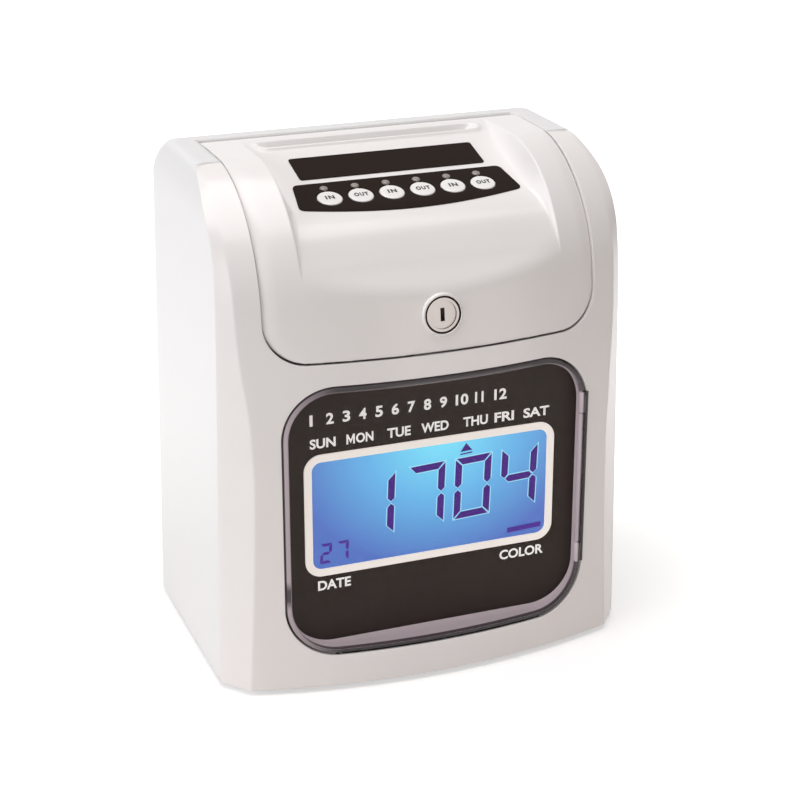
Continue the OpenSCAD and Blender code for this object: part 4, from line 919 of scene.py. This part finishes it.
outer_rings = np.stack([door_ring(*ring) for ring in rim_rings + pane_rings])
inner_rings = np.stack([door_ring(*ring) for ring in back_rings])
around = outer_rings.shape[1]
fronts, backs = len(outer_rings), len(inner_rings)
middle_z = (DOOR["low"] + DOOR["high"]) / 2
middle_y = front_y(np.zeros(1), np.array([middle_z]))[0]
pane_middle = np.array([[0, middle_y, middle_z], [0, middle_y + PANE, middle_z]])
door_points = np.concatenate([outer_rings.reshape(-1, 3), inner_rings.reshape(-1, 3), pane_middle])
total = (fronts + backs) * around
door_quads = np.concatenate([
    ring_quads(fronts, around), ring_cap((fronts - 1) * around, around, total),
    ring_quads(backs, around) + fronts * around, ring_cap(fronts * around, around, total + 1)[:, ::-1]])
barrel_side = [(0.4, 0.0), (1.1, 0.0), (1.4, 0.3), (1.4, 58.7), (1.1, 59.0), (0.4, 59.0)]
door = put_mesh("door_pane", *joined((door_points, door_quads), hinge_piece(barrel_side, BARREL_Z)))
# Painted shade on the barrel: darker on its far side, away from the lamps at the left, and clearer there too.
far_side_shade = np.clip((np.cos(np.linspace(0, 2 * pi, HINGE_STEPS, endpoint=False)) + 0.35) / 0.3, 0, 1)
far_side_shade = np.r_[np.tile(far_side_shade, len(barrel_side)), 0, 0]
edge_rings = len(rim_rings) + 1
rim_share = np.r_[
    np.ones(edge_rings * around), np.zeros((fronts - edge_rings + backs - 2) * around), np.ones(2 * around),
    0, 0, 0.85 - 0.6 * far_side_shade]
store_share(door, "rim", rim_share)
# Painted light on the rim's front end: lighter where it faces left to the lamps, darker where it faces right
# and down, and dark beside the catch on the left edge.
outward = outer_rings[6, :, 0] - outer_rings[7, :, 0]
faces_left = np.clip(-outward / 0.4, 0, 1)
notch = (np.abs(outer_rings[6, :, 2] - 42.0) < 5.5) & (faces_left > 0.9)
painted_end_shade = np.where(notch, 1.0, 1 - 0.7 * faces_left)
# The rim's outer wall, seen only in the gap to the bezel, is painted dark as the shade in that gap.
painted_shade_share = np.r_[
    np.zeros(around), np.repeat([0.6, 1.0, 1.0], around), np.tile(painted_end_shade, 3),
    np.zeros(total + 2 - edge_rings * around), far_side_shade]
store_share(door, "dark", painted_shade_share)
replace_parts(door, "clear_door")
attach(door, "door")
DOOR_TINT = (0.42, 0.36, 0.385)
door_look = plastic("clear plastic", DOOR_TINT, 0.08, spread=0.04, cloud=0.1, bump=0.01)
door_tree = door_look.node_tree
door_painted_shade = stored_share(door_tree, "dark")
door_rim = stored_share(door_tree, "rim")
# The colour runs from the smoky tint to near black with the painted shade. A faint mauve painted glow,
# strongest where there is no shade, stands in for light through the clear plastic.
door_tint = colour_ramp(door_tree, door_painted_shade, (0.0, DOOR_TINT), (1.0, (0.025, 0.018, 0.02)))
door_painted_glow = colour_ramp(door_tree, door_painted_shade, (0.0, (0.2, 0.165, 0.178)), (1.0, (0.0, 0.0, 0.0)))
door_alpha = add_node(door_tree, "MapRange", {"Value": door_rim, "To Min": 0.01, "To Max": 0.9})
set_inputs(door_tree, door_tree.nodes["Group"], {"Colour": door_tint})
set_inputs(door_tree, door_tree.nodes["Principled BSDF"], {
    "Emission Color": door_painted_glow, "Emission Strength": 1.0, "Alpha": door_alpha})
door.data.materials.append(door_look)
lug_side = [(0.4, 0.0), (1.2, 0.0), (1.5, 0.3), (1.5, 8.7), (1.2, 9.0), (0.4, 9.0)]
lugs = put_mesh("door_lugs", *joined(*(hinge_piece(lug_side, low) for low in LUGS_Z)))
# Painted shade on the lugs: darker on their far side, away from the lamps at the left.
store_share(lugs, "rim", np.ones(2 * len(far_side_shade)))
store_share(lugs, "dark", np.tile(far_side_shade, 2))
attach(lugs, "case")
lugs.data.materials.append(door_look)
dress(plastic("blackened pin", (0.03, 0.022, 0.022), 0.6, cloud=0.3, bump=0.05), "door_hinge_pin")

# Notice strip and button overlay. Thin black plastic labels with round corners, stuck on the lid's deck. The
# overlay's lower edge bows forward around the deck's curve. It is punched for the buttons and their lamps.
label_look = plastic("label black", (0.02, 0.0135, 0.011), 0.6, spread=0.1, cloud=0.3, bump=0.03,
                     extra={"Specular IOR Level": 0.03})
DECK_UP = np.array([0, -sin(SLOPE), cos(SLOPE)])
DECK_ALONG = np.array([0, cos(SLOPE), sin(SLOPE)])
LAMP_UP = 7.8
CURVE_AT = (DECK_Y + DECK_R * cos(DECK_BEND) - BUTTON_Y) / cos(SLOPE)
LABEL_TOP, LABEL_THICK = 0.35, 0.3
CAP_PUNCH_R, LAMP_PUNCH_R = 5.45, 1.83


def on_deck(x, up, rise):
    """Points above the deck, by their length up its slope from the row of buttons, and around its curve."""
    bend = DECK_BEND + np.maximum(CURVE_AT - up, 0) / DECK_R
    straight = np.maximum(up, CURVE_AT) - CURVE_AT
    y = DECK_Y + (DECK_R + rise) * np.cos(bend) + straight * cos(SLOPE)
    z = DECK_Z + (DECK_R + rise) * np.sin(bend) + straight * sin(SLOPE)
    return points_of(x, y, z)


def label(name, top, low, top_half, low_half, bow, radius, holes):
    """A sheet on the deck between two lengths up it: round corners, a bowed lower edge and round holes."""
    side = top - low
    down = side * np.r_[
        0, 0.008, 0.025, 0.055, 0.1, np.linspace(0.14, 0.86, 26), 0.9, 0.945, 0.975, 0.992, 1]
    inside = np.clip(np.minimum(down, side - down) / radius, 0, 1)
    half = top_half + (low_half - top_half) * down / side - radius * (1 - np.sqrt(1 - (1 - inside) ** 2))
    x = np.linspace(-1, 1, 141)[None, :] * half[:, None]
    bowed = bow * (1 - (x / low_half) ** 2)
    up = top - down[:, None] * (side + bowed) / side
    x, up, keep = snap(x, up, *round_holes(x, up, holes))
    made = put_mesh(name, on_deck(x, up, LABEL_TOP), grid_quads(keep)[:, ::-1])
    moulded_wall(made, LABEL_THICK)
    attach(made, "lid")
    made.data.materials.append(label_look)
    return made


punched = [(x, 0.0, CAP_PUNCH_R) for x in BUTTON_X] + [(x, LAMP_UP, LAMP_PUNCH_R) for x in BUTTON_X]
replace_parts(label("strip_sheet", 32.9, 15.8, 40.5, 40.5, 0.0, 1.2, []), "strip_label")
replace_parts(label("overlay_sheet", 12.2, -6.5, 45.3, 48.1, 5.8, 2.2, punched), "button_overlay")

# Buttons. Six round caps of glossy white plastic in a row on the deck, each with a low dome, a flange under
# the overlay and a stem on its own spring. They are printed IN and OUT by turns.
button_look = plastic("button white", (0.88, 0.87, 0.85), 0.22, coat=0.3)
button_ink = plastic("button print", (0.02, 0.018, 0.018), 0.5)
INK_UP, INK_HEIGHT = 0.88, 2.7
cap_side = [(1.2, -4.9), (2.0, -4.9), (2.0, -4.1), (6.2, -4.1), (6.2, -2.9), (5.15, -2.9), (5.15, 0.2),
            (5.08, 0.4), (4.95, 0.54), (4.65, 0.64)]
cap_side += [(4.65 - 4.25 * t, 0.64 + 0.2 * (1 - (1 - t) ** 2)) for t in np.linspace(0, 1, 9)[1:]]


def on_cap(centre, half):
    """Places a word on a cap, reaching as far to each side of its centre as half says."""
    return lambda across, up: (centre + np.outer((across - 0.5) * 2 * half, (1, 0, 0))
                               + np.outer((up - 0.5) * INK_HEIGHT, DECK_ALONG) + INK_UP * DECK_UP)


for i in range(6):
    body = "button_%d" % (i + 1)
    centre = np.array([BUTTON_X[i], BUTTON_Y, BUTTON_Z])
    cap = put_mesh("cap_%d" % (i + 1), *turned(cap_side, (centre, DECK_UP), 48))
    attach(cap, body)
    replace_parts(cap, "mode_button_%d" % (i + 1))
    cap.data.materials.append(button_look)
    word, half = (("IN", 1.9), ("OUT", 3.0))[i % 2]
    lettering("mark_" + body, word, on_cap(centre, half), button_ink, body, 0.05, 1.25)

# Signal lamps. A small grey plastic lens with a domed top above each button, pushed up from below through
# the lid and the overlay.
lens_look = plastic("lamp lens", (0.24, 0.21, 0.185), 0.2, cloud=0.3, coat=0.3)
lens_side = [(1.2, -1.0), (1.75, -1.0), (1.75, 0.3), (1.62, 0.58), (1.3, 0.8), (0.8, 0.93), (0.3, 0.97)]
lenses = [turned(lens_side, (on_deck(x, LAMP_UP, 0.0), DECK_UP), 24) for x in BUTTON_X]
lens_row = put_mesh("lamp_lenses", *joined(*lenses))
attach(lens_row, "lid")
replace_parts(lens_row, "led_lenses")
lens_row.data.materials.append(lens_look)


# Lock. A turned nickel body and plug with a keyway, held in the lid by a nut, with a cam behind. A collar of
# the lid's plastic runs around it, and inside the collar a black ring is painted shade in the gap around the
# lock.
def metal(name, colour, gloss, spread=0.12, cloud=0.12, grain=900.0, bump=0.03):
    """A metal of one colour with the same marks in its gloss."""
    return plastic(name, colour, gloss, spread, cloud, grain, bump, extra={"Metallic": 1.0})


nickel_look = metal("satin nickel", (0.35, 0.32, 0.305), 0.4)
dress(nickel_look, "lock_body", "lock_plug", "lock_nut")
LOCK_AT = (0.0, -55.67, LOCK_Z)
LOCK_OUT = (0.0, -cos(LEAN), sin(LEAN))
HOOP_STEPS = 64


def hoop(profile):
    """Points and quads of a ring around the lock: a closed profile, turned about its axis."""
    points, _ = turned(profile, (LOCK_AT, LOCK_OUT), HOOP_STEPS)
    rows = len(profile)
    return points, ring_quads(rows + 1, HOOP_STEPS) % (rows * HOOP_STEPS)


collar_side = [(7.7, 0.1), (8.95, -0.1), (8.85, 0.6), (8.45, 1.3), (8.0, 1.6), (7.7, 1.5)]
collar = put_mesh("lock_collar", *hoop(collar_side))
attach(collar, "lid")
collar.data.materials.append(bezel_look)
# A black ring as painted shade in the gap between the lock and the collar.
shade_ring = put_mesh("lock_shade_ring", *hoop([(6.9, 0.9), (7.75, 0.9), (7.75, 1.26), (6.9, 1.26)]))
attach(shade_ring, "lid")
shade_ring.data.materials.append(label_look)

# Base and feet. A grey painted steel plate closes the case below and stands on four black rubber feet. The
# same rubber is on the rollers, the platen and the belt inside.
rubber_look = plastic("black rubber", (0.02, 0.02, 0.02), 0.7, cloud=0.4, grain=3000.0, bump=0.1)
dress(rubber_look, "rubber_feet", "feed_rollers", "platen_bar", "carriage_belt")
dress(metal("grey painted steel", (0.4, 0.4, 0.41), 0.5), "base_plate")

# Mechanism. The printer and the card feed under the lid: bent plates of zinc-plated sheet, steel rods,
# motors and screws, nylon gears and pulleys, a brass pinion and dark moulded plastic.
zinc_look = metal("zinc plate", (0.7, 0.71, 0.72), 0.36, spread=0.2, cloud=0.25)
dress(zinc_look, "left_plate", "right_plate", "chute_front", "chute_back", "carriage_shelf", "lock_cam",
      "lock_keeper")
steel_look = metal("bright steel", (0.62, 0.62, 0.62), 0.25)
dress(steel_look, "case_screws", "display_screws", "board_screws", "lid_hinge_pins", "tie_rods", "feed_shaft",
      "feed_motor", "guide_rods", "carriage_motor")
dress(plastic("nylon", (0.75, 0.73, 0.66), 0.42, cloud=0.12), "feed_gear", "drive_pulley", "idler_pulley")
dress(metal("brass", (0.75, 0.56, 0.25), 0.3), "motor_pinion")
dark_look = plastic("dark plastic", (0.045, 0.045, 0.048), 0.45, cloud=0.3, grain=2200.0, bump=0.06)
dress(dark_look, "card_stop", "pinch_roller", "print_carriage", "print_head", "ribbon_cartridge",
      "ribbon_knob", "power_inlet")
dress(plastic("inked ribbon", (0.015, 0.012, 0.02), 0.8, cloud=0.5, grain=4000.0, bump=0.15), "ribbon_band")

# Electrics. Circuit boards in green lacquer for the buttons, the display, the power and the control, and
# the iron core of the transformer.
board_look = plastic("board green", (0.03, 0.17, 0.08), 0.35, spread=0.15, cloud=0.4)
dress(board_look, "button_board", "display_board", "power_board", "main_board")
dress(metal("iron core", (0.2, 0.19, 0.18), 0.55, spread=0.25, cloud=0.4), "transformer")
